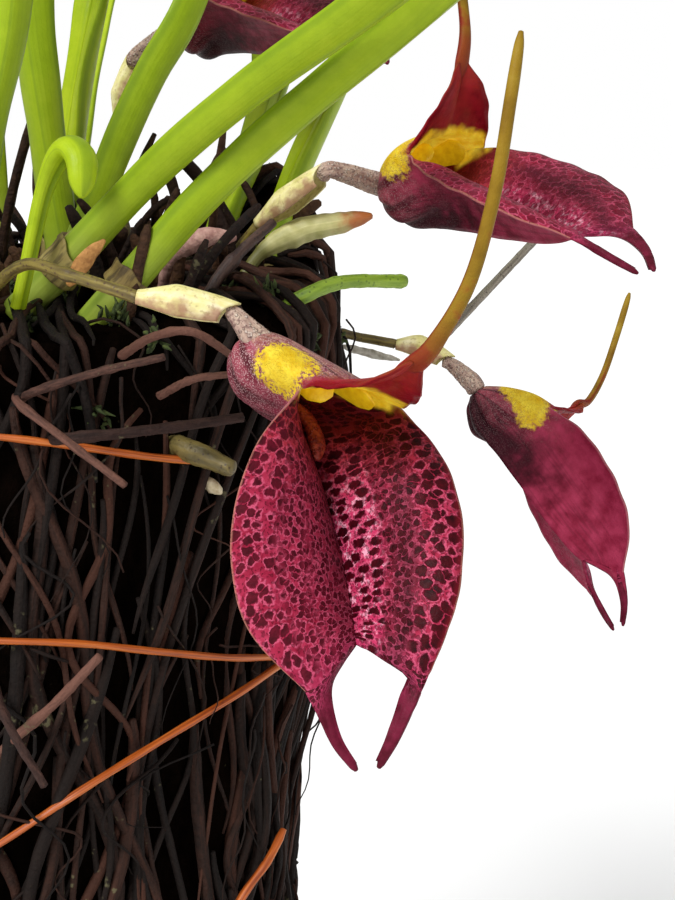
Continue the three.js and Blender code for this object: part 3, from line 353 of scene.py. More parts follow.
def new_object(name, data):
    thing = bpy.data.objects.new(name, data)
    bpy.context.scene.collection.objects.link(thing)
    return thing


# Mesh building

class Piece:
    """Gathers vertices, faces and per-vertex values, and makes one mesh object of them."""

    def __init__(self):
        self.vertices = []
        self.faces = []
        self.values = []
        self.flat = []
        self.count = 0

    def add(self, points, **values):
        points = np.asarray(points, float)
        shape = points.shape[:-1]
        size = math.prod(shape)
        self.vertices.append(points.reshape(-1, 3))
        self.values.append((size, {k: np.broadcast_to(v, shape).reshape(-1) for k, v in values.items()}))
        self.count += size
        return np.arange(self.count - size, self.count).reshape(shape)

    def quads(self, index, wrap=False, flip=False):
        if wrap:
            index = np.concatenate([index, index[:, :1]], axis=1)
        a, b = index[:-1, :-1].ravel(), index[:-1, 1:].ravel()
        c, d = index[1:, 1:].ravel(), index[1:, :-1].ravel()
        self.faces.extend(np.stack([d, c, b, a] if flip else [a, b, c, d], axis=1).tolist())

    def fan(self, ring, centre, flip=False, **values):
        middle = int(self.add([centre], **values)[0])
        for a, b in zip(ring.tolist(), np.roll(ring, -1).tolist()):
            self.faces.append([a, b, middle] if flip else [b, a, middle])

    def tube(self, path, radii, sides=8, hint=None, flatten=1.0, rough=None, size=1.0, **values):
        """A closed tube, flatten times thinner along the hint. Its radii run along the path, as numbers or as
        pairs for profile."""
        if isinstance(radii, list):
            radii = profile(radii, evenly(len(path)))
        tangents, normals, across = frames_along(path, hint)
        angle = turns(sides)
        radii = (radii * size)[:, None]
        thin = np.broadcast_to(flatten, len(path))[:, None]
        scale = 1 if rough is None else 1 + rough(path, angle)
        low = (radii * thin * scale * np.cos(angle))[..., None] * normals[:, None, :]
        wide = (radii * scale * np.sin(angle))[..., None] * across[:, None, :]
        values = {k: (v[:, None] if np.ndim(v) == 1 else v) for k, v in values.items()}
        values.setdefault("along", evenly(len(path))[:, None])
        values.setdefault("turn", np.abs(1 - angle / math.pi)[None, :])
        index = self.add(path[:, None, :] + low + wide, **values)
        self.quads(index, wrap=True)
        for end, outward in ((0, -0.4), (-1, 0.4)):
            tip = path[end] + outward * tangents[end] * radii[end]
            last = {k: np.broadcast_to(v, index.shape)[end, 0] for k, v in values.items()}
            self.fan(index[end], tip, flip=outward > 0, **last)

    def normals(self):
        points = np.vstack(self.vertices)
        total = np.zeros_like(points)
        quads = np.array([f if len(f) == 4 else f + f[-1:] for f in self.faces])
        a, b, c, d = (points[quads[:, i]] for i in range(4))
        facing = np.cross(c - a, d - b)
        for corner in range(4):
            np.add.at(total, quads[:, corner], facing)
        return unit(total)

    def mark(self, name, column):
        """Gives every vertex so far its value of a column."""
        first = 0
        for size, values in self.values:
            values[name] = column[first:first + size]
            first += size

    def thicken(self, thickness):
        """Turns the open surface so far into a closed shell, with inner 0 on its face and 1 on its back."""
        size = self.count
        edges = {(a, b) for face in self.faces for a, b in zip(face, face[1:] + face[:1])}
        rim = [[b, a, a + size, b + size] for a, b in edges if (b, a) not in edges]
        points, shift = np.vstack(self.vertices), self.normals() * np.reshape(thickness, (-1, 1)) / 2
        inside = [[v + size for v in reversed(face)] for face in self.faces]
        self.faces += inside + sorted(rim)
        self.vertices = [points + shift, points - shift]
        self.values = [(n, {**v, "inner": np.full(n, side)}) for side in (0.0, 1.0) for n, v in self.values]
        self.count = 2 * size

    def plate(self, rings, flip=False):
        """A flat face with holes in it: its outer ring of vertices first, then the ring of each hole."""
        points = np.vstack(self.vertices)
        order = np.concatenate(rings)
        for corners in tessellate_polygon([[tuple(points[v]) for v in ring] for ring in rings]):
            face = [int(order[corner]) for corner in corners]
            turn = np.cross(points[face[1]] - points[face[0]], points[face[2]] - points[face[0]])[2]
            if (turn > 0) == flip:
                face.reverse()
            self.flat.append(len(self.faces))
            self.faces.append(face)

    def build(self, name, material, slot, *stands_for):
        mesh = bpy.data.meshes.new(name)
        mesh.from_pydata((np.vstack(self.vertices) * MM).tolist(), [], self.faces)
        for key in sorted({k for _, values in self.values for k in values}):
            column = [values.get(key, np.zeros(size)) for size, values in self.values]
            layer = mesh.attributes.new(key, "FLOAT", "POINT")
            layer.data.foreach_set("value", np.concatenate(column).astype(np.float32))
        smooth = np.ones(len(mesh.polygons), bool)
        smooth[self.flat] = False
        mesh.polygons.foreach_set("use_smooth", smooth)
        mesh.update()
        mesh.materials.append(material)
        thing = new_object(name, mesh)
        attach(thing, "root")
        if stands_for:
            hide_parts(*stands_for)


# Materials

def rgb(code):
    """Linear colour of a six-digit sRGB code."""
    parts = [int(code[i:i + 2], 16) / 255 for i in (0, 2, 4)]
    return tuple(c / 12.92 if c <= 0.04045 else ((c + 0.055) / 1.055) ** 2.4 for c in parts) + (1.0,)


class Field:
    """A value that changes over a surface, with the usual arithmetic. It stands for one output of a node."""

    def __init__(self, shader, socket):
        self.shader = shader
        self.socket = socket

    def __add__(self, other):
        return self.shader.calc("ADD", self, other)

    def __sub__(self, other):
        return self.shader.calc("SUBTRACT", self, other)

    def __rsub__(self, other):
        return self.shader.calc("SUBTRACT", other, self)

    def __mul__(self, other):
        return self.shader.calc("MULTIPLY", self, other)


class Shader:
    """A Principled material built node by node. Textures are laid out in millimetres."""

    def __init__(self, name, **sockets):
        self.material = bpy.data.materials.new(name)
        self.material.use_nodes = True
        self.material.cycles.emission_sampling = "NONE"
        self.tree = self.material.node_tree
        self.set(**sockets)
        self.place = self.vector("SCALE", self.node("TexCoord", "Object", {}), 1 / MM)

    def set(self, **sockets):
        for key, value in sockets.items():
            self.fill(self.tree.nodes["Principled BSDF"].inputs[key.replace("_", " ")], value)

    def fill(self, socket, value):
        if isinstance(value, Field):
            self.tree.links.new(value.socket, socket)
        elif value is not None:
            socket.default_value = rgb(value) if isinstance(value, str) else value

    def node(self, kind, output, inputs, **settings):
        """Adds a node, sets it up, fills its inputs by name or number and gives one of its outputs."""
        node = self.tree.nodes.new("ShaderNode" + kind)
        for key, value in settings.items():
            setattr(node, key, value)
        for key, value in inputs.items():
            self.fill(node.inputs[key], value)
        return Field(self, node.outputs[output])

    def value(self, name):
        return self.node("Attribute", "Fac", {}, attribute_name=name)

    def values(self, *names):
        return [self.value(name) for name in names]

    def vector(self, operation, a, b):
        return self.node("VectorMath", 0, {0: a, "Scale" if operation == "SCALE" else 1: b},
                         operation=operation)

    def combine(self, x=0.0, y=0.0, z=0.0):
        return self.node("CombineXYZ", 0, {0: x, 1: y, 2: z})

    def calc(self, operation, a, b=None, clamp=False):
        return self.node("Math", 0, {0: a, 1: b}, operation=operation, use_clamp=clamp)

    def step(self, value, low, high):
        """0 below low, 1 above high, smooth between them."""
        return self.node("MapRange", "Result", {"Value": value, "From Min": low, "From Max": high},
                         interpolation_type="SMOOTHSTEP")

    def hump(self, value, start, top, end):
        return self.step(value, start, top) * (1 - self.step(value, top, end))

    def noise(self, scale, detail=3.0, rough=0.5, vector=None):
        inputs = {"Vector": vector or self.place, "Scale": scale, "Detail": detail, "Roughness": rough}
        return self.node("TexNoise", "Fac", inputs)

    def streaks(self, x, y=0.0, z=0.0, detail=3, rough=0.5):
        """Noise drawn out along a piece, by its own coordinates."""
        return self.noise(1.0, detail, rough, self.combine(x, y, z))

    def voronoi(self, scale, vector=None, even=1.0, **settings):
        inputs = {"Vector": vector or self.place, "Scale": scale, "Randomness": even}
        return self.node("TexVoronoi", "Distance", inputs, **settings)

    def cells(self, scale, **settings):
        """Distance from the middle of the nearest cell, and that cell's own chance number."""
        distance = self.voronoi(scale, **settings)
        colour = Field(self, distance.socket.node.outputs["Color"])
        return distance, self.node("SeparateColor", 0, {0: colour})

    def ramp(self, value, *stops):
        result = self.node("ValToRGB", "Color", {"Fac": value})
        elements = result.socket.node.color_ramp.elements
        while len(elements) < len(stops):
            elements.new(0.5)
        for element, (place, colour) in zip(elements, stops):
            element.position = place
            element.color = rgb(colour) if isinstance(colour, str) else (colour,) * 3 + (1.0,)
        return result

    def two_tone(self, scale, dark, light, detail=4, rough=0.5):
        return self.ramp(self.noise(scale, detail, rough), (0.3, dark), (0.7, light))

    def blend(self, share, a, b):
        return self.node("Mix", 2, {0: share, 6: a, 7: b}, data_type="RGBA")

    def bump(self, height, depth, normal=None):
        """Relief of the given depth in millimetres, for heights from 0 to 1."""
        return self.node("Bump", "Normal", {"Distance": depth * MM, "Height": height, "Normal": normal})

    def done(self, colour, normal, rough=None):
        self.set(Base_Color=colour, Normal=normal, Roughness=rough)
        return self.material


def calyx_material():
    s = Shader("calyx", Roughness=0.5, Specular_IOR_Level=0.1, Subsurface_Radius=(1.0, 0.6, 0.1),
               Subsurface_Scale=0.001)
    inner, upper, share, reach, faint, u, v = s.values("inner", "upper", "share", "reach", "faint", "u", "v")
    lower = 1 - upper
    plain = 1 - faint * 1.4
    place = s.combine(u, v, upper)
    wobble = s.vector("SCALE", s.combine(s.noise(1.3, 4), s.noise(1.4, 4, vector=place)), 0.9)
    pattern = s.vector("ADD", place, wobble)

    # Dark islands with pale rims in a crimson net: small along the middle veins, stretched across at the keel
    right = s.step(s.value("side"), -0.03, 0.03)
    throat = s.step(reach + s.noise(1.2) * 0.3, 1.55, 1.15)
    ragged = right * 0.09 + throat * 0.12 + s.noise(3.5, 4, 0.65) * 0.36 - 0.18

    def islands(scale, low, spread, vector=pattern):
        layout = dict(vector=vector, even=0.85, voronoi_dimensions="2D")
        distance, chance = s.cells(scale, **layout)
        past = chance * spread + ragged + low - distance
        apart = s.step(s.voronoi(scale, feature="DISTANCE_TO_EDGE", **layout), 0.02, 0.09)
        return s.step(past, -0.08, 0.06) * apart, s.hump(past, -0.24, -0.1, -0.01)

    large, large_rim = islands(0.93, 0.17, 0.28)
    keel, keel_rim = islands(0.95, 0.2, 0.14, s.vector("MULTIPLY", pattern, (0.58, 1.1, 1.0)))
    small, small_rim = islands(1.5, 0.26, 0.18)
    dust, _ = islands(2.7, 0.02, 0.36)
    at_keel = s.step(share + s.noise(0.6) * 0.2, 0.52, 0.42)
    vein = s.calc("MAXIMUM", s.hump(share + s.noise(0.5) * 0.2, 0.42, 0.62, 0.82), at_keel * (1 - right))
    rim = s.blend(vein, s.blend(at_keel, large_rim, keel_rim), small_rim)
    dark = s.blend(vein, s.blend(at_keel, large, keel), small)
    dark = s.calc("MAXIMUM", dark, dust * 0.6)
    # Darker deep inside the tube: the throat's own dark crimson, with painted shade in the tube's hollow
    dark = s.calc("MAXIMUM", dark, s.step(reach, 1.1, 1.0) * 0.7)
    # Painted light: the right lobe beside the keel, which faces the light, is painted pinker, with pale
    # painted glints for its highlights
    painted_keel_light = at_keel * right * s.step(reach, 1.1, 1.35)
    painted_glint = painted_keel_light * s.step(s.noise(1.5, 5, 0.65), 0.5, 0.64)
    # Painted shade: a dusky darkening on the left lobe beside the keel and along the right lobe's middle
    # vein, where the lobes turn away from the light
    painted_dusk_shade = s.hump(share + s.noise(0.4) * 0.15, 0.45, 0.62, 0.8)
    painted_dusk_shade = s.blend(right, s.step(share, 0.45, 0.05), painted_dusk_shade)
    net = s.ramp(s.noise(0.45, 4), (0.3, "86122e"), (0.5, "9e2442"), (0.75, "b43a58"))
    for amount, colour in ((painted_keel_light * 0.7, "c63462"),
                           (s.step(s.noise(3.2, 4, 0.6), 0.5, 0.62) * 0.45, "6a0620"),
                           (rim * 0.7, "d05c7c"), (painted_glint * 0.8, "f4b0c6"), (painted_dusk_shade * 0.6, "5e2434"),
                           (throat * 0.8, "a02c2e"), (s.step(reach, 1.85, 2.1) * 0.5, "8e2a50")):
        net = s.blend(amount, net, colour)
    island = s.blend(right, s.two_tone(1.4, "3a0410", "5c0a1e", 3), s.two_tone(1.4, "240006", "46020e", 3))
    tail_colour = s.two_tone(0.8, "480818", "701a34")
    inside = s.blend(dark * (1 - faint * 0.9), net, island)
    # A darker red band along the right lobe's margin: its dark crimson rim, with painted shade where that
    # margin turns away from the light
    inside = s.blend(s.step(share, 0.92, 0.98) * right * 0.6, inside, "6c0a1a")
    inside = s.blend(s.step(share, 0.98, 0.998) * 0.8, inside, "b07464")
    inside = s.blend(s.step(reach + s.noise(1.2, 4) * 0.4, 2.3, 2.7), inside, tail_colour)

    # The outside is crimson with dark lines along the keel, and mauve with pale grains on the tube
    on_tube = s.step(reach + s.noise(0.6, 4) * 0.5, 1.5, 1.0)
    distance, chance = s.cells(6.5)
    grain = s.step(distance, 0.6, 0.3) * s.step(chance, 0.1, 0.7) * on_tube * 0.7
    roof = s.ramp(s.noise(1.6, 5, 0.6), (0.35, "7a2c3e"), (0.5, "a06a60"), (0.65, "b8927a"))
    mauve = s.blend(upper * 0.75, s.two_tone(0.9, "6a1a2c", "a04e5c"), roof)
    outside = s.blend(on_tube, s.two_tone(0.6, "801a34", "a83654"), mauve)
    lines = s.step(s.noise(1.4, vector=s.combine(u * 1.6, v * 0.1, upper)), 0.48, 0.62)
    lines = lines * s.step(share + s.noise(0.7) * 0.4, 1.05, 0.4) * (on_tube * 0.6 + 0.25)
    # Painted shade: the grooves between the tube's ridges are darkened, in the same dark colour as the real
    # lines along the keel
    painted_groove_shade = s.step(s.calc("COSINE", share * (2 * math.pi * TUBE_RIDGES)), 0.0, -0.9) * 0.7
    painted_groove_shade = painted_groove_shade * on_tube * s.step(share, 0.98, 0.9) * lower
    outside = s.blend(s.calc("MAXIMUM", lines, painted_groove_shade), outside, "2c040e")
    chin = s.step(reach - faint * 0.6 + s.noise(0.6, 4) * 0.5, 1.5, 1.0)
    chin = chin * s.step(share + s.noise(0.5) * 0.3, 0.75, 0.3) * lower
    outside = s.blend(chin * (faint * 0.7 + 0.55), outside, "26040e")
    outside = s.blend(grain * plain * (1 - chin * 0.5), outside, "dcb4b4")
    outside = s.blend(s.step(share, 0.965, 0.995) * 0.6, outside, "b06c78")
    outside = s.blend(s.step(reach, 2.2, 2.6), outside, tail_colour)

    # The upper sepal is yellow inside and in a patch outside the tube, then crimson, then an ochre tail
    yellow = s.two_tone(0.8, "cfa614", "e8d040")
    patch_edge = s.value("patch") + s.noise(1.3, 5, 0.6) * 0.34
    freckles = s.step(s.noise(3.4, 4, 0.65), 0.5, 0.56) * s.step(patch_edge, 0.86, 0.72) * plain
    with_patch = s.blend(s.step(patch_edge, 0.6, 0.7), outside, s.blend(freckles, yellow, "84405a"))
    streak = s.step(s.noise(0.9, 4, vector=s.combine(u, v * 0.2)), 0.46, 0.62)
    outward = s.step(reach + s.noise(0.8, 4) * 0.5, 1.6, 2.1)
    blade_middle = s.calc("MAXIMUM", s.step(share, 0.7, 0.2) * (streak * 0.5 + 0.3), outward * 0.5)
    blade = s.blend(blade_middle * 0.4, s.two_tone(0.9, "7e081a", "a21626"), "a0502e")
    blade = s.blend(s.step(share + s.noise(0.9, 3) * 0.3, 0.8, 1.1) * 0.6, blade, "60040f")
    tail_start = reach + s.noise(0.6, vector=s.combine(u, v * 0.25)) * 0.25
    ochre = s.ramp(s.noise(0.35, 4), (0.3, "745616"), (0.55, "8c6e1e"), (0.8, "a0862e"))
    tail_red = s.step(s.noise(0.5, 3, vector=s.vector("SCALE", s.place, 0.7)), 0.52, 0.64)
    ochre = s.blend(tail_red * s.step(tail_start, 2.75, 2.3), ochre, "8a3a1c")
    upper_tail = s.blend(s.step(tail_start, 2.1, 2.4), "82381c", ochre)
    tail_rim = s.hump(s.value("turn"), 0.3, 0.5, 0.7) * s.step(tail_start, 2.8, 2.4)
    upper_tail = s.blend(tail_rim * 0.75, upper_tail, "6c1018")
    roof_edge = reach + s.noise(0.5, 2) * 0.3
    roof_inside = s.step(roof_edge, 1.16, 1.3)
    upper_inner = s.blend(s.step(tail_start, 1.95, 2.25), s.blend(roof_inside, yellow, blade), upper_tail)
    upper_outer = s.blend(s.step(roof_edge, 1.05, 1.25), with_patch, blade)
    upper_outer = s.blend(s.step(tail_start, 1.6, 2.1), upper_outer, upper_tail)
    margin_yellow = s.hump(roof_edge, 0.85, 1.05, 1.2) * s.step(share, 0.8, 0.9)
    inside = s.blend(upper, s.blend(margin_yellow, inside, yellow), upper_inner)
    colour = s.blend(inner, s.blend(upper, with_patch, upper_outer), inside)

    # Fine grain and shallow pits at the islands; a painted glow (emission) on the roof and the fringe stands
    # in for the light shining through them
    normal = s.bump(s.noise(5.0, 3, 0.6) * 0.5 + grain * 0.6, 0.12)
    spotted = s.step(reach, 2.4, 2.1) * s.calc("SUBTRACT", inner, upper, clamp=True)
    normal = s.bump(1 - dark * spotted, 0.1, normal)
    painted_glow = inner * s.calc("MAXIMUM", upper * s.step(roof_edge, 1.3, 1.16), margin_yellow)
    s.set(Emission_Color=yellow, Emission_Strength=painted_glow * 0.42,
          Subsurface_Weight=upper * s.step(reach, 2.2, 1.9) * s.step(reach, 0.6, 0.9) * 0.45)
    return s.done(colour, normal, s.ramp(s.noise(2.5), (0.3, 0.38), (0.7, 0.6)))


def leaf_material():
    s = Shader("leaf", Roughness=0.42, Specular_IOR_Level=0.18)
    along, across, number, back = s.values("along", "across", "number", "back")
    from_middle = s.calc("ABSOLUTE", across)
    stripes = s.streaks(across * 9, along * 1.3, number)
    tone = s.noise(0.05, 4) * 0.6 + s.noise(0.6, 5, 0.6) * 0.25 + stripes * 0.15
    colour = s.ramp(tone, (0.35, "8aa20e"), (0.5, "a2ba18"), (0.65, "b8ca28"))
    colour = s.blend(s.step(along, 0.17, 0.06) * 0.8, colour, s.two_tone(0.25, "9cb040", "b4c060", 3))
    colour = s.blend(s.step(back, 0.3, 0.8) * 0.3, colour, "66801c")
    # Painted shade: darker towards the edges, where the leaf turns from the light, and along the middle
    # groove
    colour = s.blend(s.step(from_middle, 0.86, 0.98) * 0.5, colour, "5f7d18")
    colour = s.blend(s.step(from_middle, 0.1, 0.02) * 0.35, colour, "6a8420")
    distance, chance = s.cells(0.16)
    spot = s.step(distance + s.noise(2.0, 4) * 0.05, 0.115, 0.075) * s.step(chance, 0.8, 0.82)
    colour = s.blend(spot * 0.85, colour, "7a3d16")
    normal = s.bump(s.noise(3.0, 4), 0.03, s.bump(stripes, 0.04))
    return s.done(colour, normal, s.ramp(s.noise(0.7), (0.3, 0.36), (0.7, 0.5)))


def stem_material(name, dark, light, speck, rough=0.5):
    """A thin stem: long streaks of two tones and small dark specks."""
    s = Shader(name, Roughness=rough)
    turn, along = s.values("turn", "along")
    streak = s.streaks(turn * 5, along * 6, s.noise(0.3), 4)
    distance, chance = s.cells(2.4)
    spots = s.step(distance, 0.36, 0.2) * s.step(chance, 0.45, 0.55)
    colour = s.blend(spots * 0.8, s.ramp(streak, (0.35, dark), (0.65, light)), speck)
    return s.done(colour, s.bump(streak + s.noise(2.0, 4), 0.12))


def bract_material():
    s = Shader("bract", Roughness=0.55)
    turn, along = s.values("turn", "along")
    veins = s.streaks(turn * 16, along)
    colour = s.ramp(s.noise(0.6, 4) * 0.6 + veins * 0.4, (0.3, "bcb45a"), (0.5, "e2d894"), (0.7, "f6ecc4"))
    colour = s.blend(s.step(s.noise(0.7, 4) * 0.5 + turn * 0.6, 0.68, 0.86) * 0.8, colour, "9a6250")
    colour = s.blend(s.step(s.noise(2.6, 4), 0.56, 0.66) * 0.35, colour, "8a6a3c")
    return s.done(colour, s.bump(veins, 0.1))


def ovary_material():
    s = Shader("ovary", Roughness=0.6)
    turn, along = s.values("turn", "along")
    distance, chance = s.cells(2.6)
    wart = s.step(distance, 0.5, 0.25)
    tone = s.noise(0.9, 4) * 0.5 + s.streaks(turn * 12, along, detail=4) * 0.5
    colour = s.ramp(tone, (0.35, "8a6a62"), (0.5, "b09484"), (0.65, "ceb8a2"))
    colour = s.blend(wart * chance * 0.8, colour, "cdbfb2")
    colour = s.blend(s.step(s.noise(3.0), 0.54, 0.64) * 0.65, colour, "5c3434")
    return s.done(colour, s.bump(wart, 0.12))


def lip_material():
    s = Shader("lip", Roughness=0.45, Specular_IOR_Level=0.3)
    colour = s.ramp(s.noise(1.5, 4), (0.3, "5a140e"), (0.5, "88281c"), (0.7, "a4442c"))
    return s.done(colour, s.bump(s.step(s.voronoi(3.5), 0.5, 0.2), 0.1))


def petal_material():
    # The petals carry a painted glow (emission) that stands in for light shining through them
    s = Shader("petal", Roughness=0.4, Emission_Strength=0.3, Emission_Color=(0.6, 0.38, 0.005, 1))
    return s.done(s.two_tone(1.2, "c99200", "efcb1e"), s.bump(s.noise(3.0), 0.05))


def root_material(name, tones, pale_share, shine=0.2):
    s = Shader(name, Roughness=0.75, Specular_IOR_Level=shine)
    turn, along, tone = s.values("turn", "along", "tone")
    streak = s.streaks(turn * 4, along * 14, tone, 5, 0.6)
    colour = s.ramp(streak * 0.55 + tone * 0.45, *zip((0.22, 0.45, 0.7), tones))
    lichen = s.step(s.noise(0.12, 3) * 0.5 + s.noise(1.1, 4) * 0.5, 0.62 - pale_share, 0.68 - pale_share)
    colour = s.blend(lichen * 0.55, colour, "6f6a4c")
    return s.done(colour, s.bump(streak + s.noise(2.2, 5), 0.25))


def bark_material():
    s = Shader("bark", Roughness=0.85)
    tone = s.noise(0.5, 5, 0.6) * 0.6 + s.value("tone") * 0.4
    colour = s.ramp(tone, (0.25, "2a1a10"), (0.45, "4e3420"), (0.6, "73502f"), (0.8, "96704a"))
    moss = s.step(s.noise(0.08, 4), 0.56, 0.66) * s.step(s.noise(1.4, 4), 0.42, 0.6)
    return s.done(s.blend(moss, colour, "5d6a28"), s.bump(s.noise(1.6, 6, 0.7), 0.5))


def moss_material():
    s = Shader("moss", Roughness=0.9)
    colour = s.ramp(s.noise(0.9, 4), (0.3, "1e280c"), (0.55, "39461a"), (0.75, "5a652a"))
    return s.done(colour, s.bump(s.noise(3.0, 4), 0.2))


def pot_material():
    s = Shader("terracotta", Roughness=0.85)
    height = s.value("height")
    grain = s.noise(1.8, 6, 0.7)
    lime = s.noise(0.09, 5, 0.65) * 0.9 + s.hump(height, 0.3, 0.72, 1.1) * 0.25
    damp = s.noise(0.07, 4) * 0.5 + height
    algae = s.noise(0.11, 5, 0.7) * 0.7 - height * 0.25
    colour = s.ramp(s.noise(0.035, 5, 0.6), (0.3, "9c5436"), (0.5, "b5694a"), (0.7, "c47c5c"))
    colour = s.blend(s.step(grain, 0.55, 0.7) * 0.35, colour, "d8a184")
    colour = s.blend(s.step(grain, 0.4, 0.3) * 0.45, colour, "7a3f28")
    colour = s.blend(s.step(lime, 0.58, 0.78) * 0.6, colour, "ddd0c0")
    colour = s.blend(s.step(damp, 0.42, 0.18) * 0.5, colour, "6b3a26")
    colour = s.blend(s.step(algae, 0.24, 0.4) * 0.25, colour, "6a7046")
    rings = s.streaks(0.0, 0.0, height * 55)
    return s.done(colour, s.bump(grain, 0.2, s.bump(rings, 0.25)))


def sheath_material():
    s = Shader("sheath", Roughness=0.7)
    turn, along, tone = s.values("turn", "along", "tone")
    fibres = s.streaks(turn * 26, along, tone)
    colour = s.ramp(s.noise(0.5, 4) * 0.5 + tone * 0.25, (0.2, "4a3a1e"), (0.38, "7e6a36"), (0.6, "a99a58"))
    colour = s.blend(s.step(fibres, 0.5, 0.62) * 0.6, colour, "2a1a10")
    return s.done(colour, s.bump(fibres, 0.15))


def bud_material():
    s = Shader("bud", Roughness=0.5)
    turn, along = s.values("turn", "along")
    ribs = s.streaks(turn * 12, along)
    cream = s.ramp(ribs * 0.5 + s.noise(0.8, 4) * 0.5, (0.3, "9c9a52"), (0.7, "d9d296"))
    colour = s.blend(s.step(along + s.noise(1.0, 4) * 0.2, 0.9, 1.06), cream, "b0642e")
    return s.done(s.blend(s.step(along, 0.5, 0.42), colour, "6c6a30"), s.bump(ribs, 0.1))


def needle_material():
    s = Shader("pine_needle", Roughness=0.4)
    turn, along = s.values("turn", "along")
    streak = s.streaks(turn * 6, along * 5, s.noise(0.2))
    return s.done(s.ramp(streak, (0.3, "84380e"), (0.5, "b4581a"), (0.7, "d0762e")), s.bump(streak, 0.1))


def scrap_material(name, low, high):
    s = Shader(name, Roughness=0.7)
    return s.done(s.two_tone(1.3, low, high, 5, 0.6), s.bump(s.noise(2.5, 4), 0.15))


# Flowers

def placed(points, flower):
    """Points of a flower's own frame, leant and twisted as the flower is and placed on the plant."""
    x, y, z = np.moveaxis(np.asarray(points, float), -1, 0)
    shift = 1 - (1 - np.clip(-z / TUBE_LENGTH, 0, 1)) ** 2
    x = x + flower["lean"][0] * shift
    y = y + flower["lean"][1] * shift
    share = np.maximum(0, 1 - z / TWIST_LENGTH) ** TWIST_POWER
    angle = math.radians(flower["twist"]) * np.minimum(share, 1.5)
    bent_x = x * np.cos(angle) + y * np.sin(angle)
    bent_y = y * np.cos(angle) - x * np.sin(angle)
    across = unit(direction(*flower["across"]))
    outward = direction(*flower["outward"])
    outward = unit(outward - across * across.dot(outward))
    local = np.stack([bent_x, bent_y, z], axis=-1) * flower["size"]
    return local @ np.array([across, outward, np.cross(across, outward)]) + seen([flower["middle"]])[0]


def facing(flower, start, end):
    """The way from one point of a flower's own frame to another, on the plant."""
    start, end = placed([start, end], flower)
    return end - start


def bezier(a, b, c, d, u):
    u = u[..., None]
    return a * (1 - u) ** 3 + 3 * b * u * (1 - u) ** 2 + 3 * c * u ** 2 * (1 - u) + d * u ** 3


def sepal_points(rows, across):
    """The lower sepals: rows from the tube's end (0) to the lower edge (1), across from -1 to 1."""
    keel = smooth_curve(KEEL, rows)[:, None]
    margin = smooth_curve(MARGIN, rows)[:, None]
    opening = smoothstep(rows * (len(KEEL) - 1), THROAT_ROW - 1, THROAT_ROW + 1.5)[:, None]
    width = margin[..., 0]
    depth = margin[..., 1] - keel[..., 1]
    rise = keel + np.stack([(0.62 - 0.36 * opening) * width, 0.75 * opening * depth, 0.6 * opening], axis=-1)
    fall = margin + np.stack([-0.38 * opening * width, (0.69 * opening - 0.55) * depth, 0 * depth], axis=-1)
    points = bezier(keel, rise, fall, margin, np.abs(across)[None, :])
    points[..., 0] *= np.where(across < 0, -1, 1)
    return points


def roof_points(rows, across):
    """The upper half of the tube, from one margin over the top to the other."""
    margin = smooth_curve(MARGIN, rows)[:, None]
    top = smooth_curve(DORSAL, np.minimum(1, rows * (len(KEEL) - 1) / THROAT_ROW))[:, None]
    angle = (across * math.pi / 2)[None, :]
    points = margin + (top - margin) * np.cos(angle)[..., None]
    points[..., 0] = margin[..., 0] * np.sin(angle)
    return points


def blade_points(rows, across):
    """The upper sepal beyond the throat, from one edge to the other."""
    middle, edge = (smooth_curve(line, rows)[:, None] for line in (BLADE_MIDDLE, BLADE_EDGE))
    points = middle + (edge - middle) * np.abs(across)[None, :, None]
    points[..., 0] *= np.sign(across)
    return points


def swayed(points, side, amount, table):
    """Points of one side's tail or web, moved across by the flower's own sway (right-hand side only)."""
    points = np.array(points, float) * (side, 1, 1)
    if side > 0:
        points[..., 0] += amount * profile(table, points[..., 2])
    return points


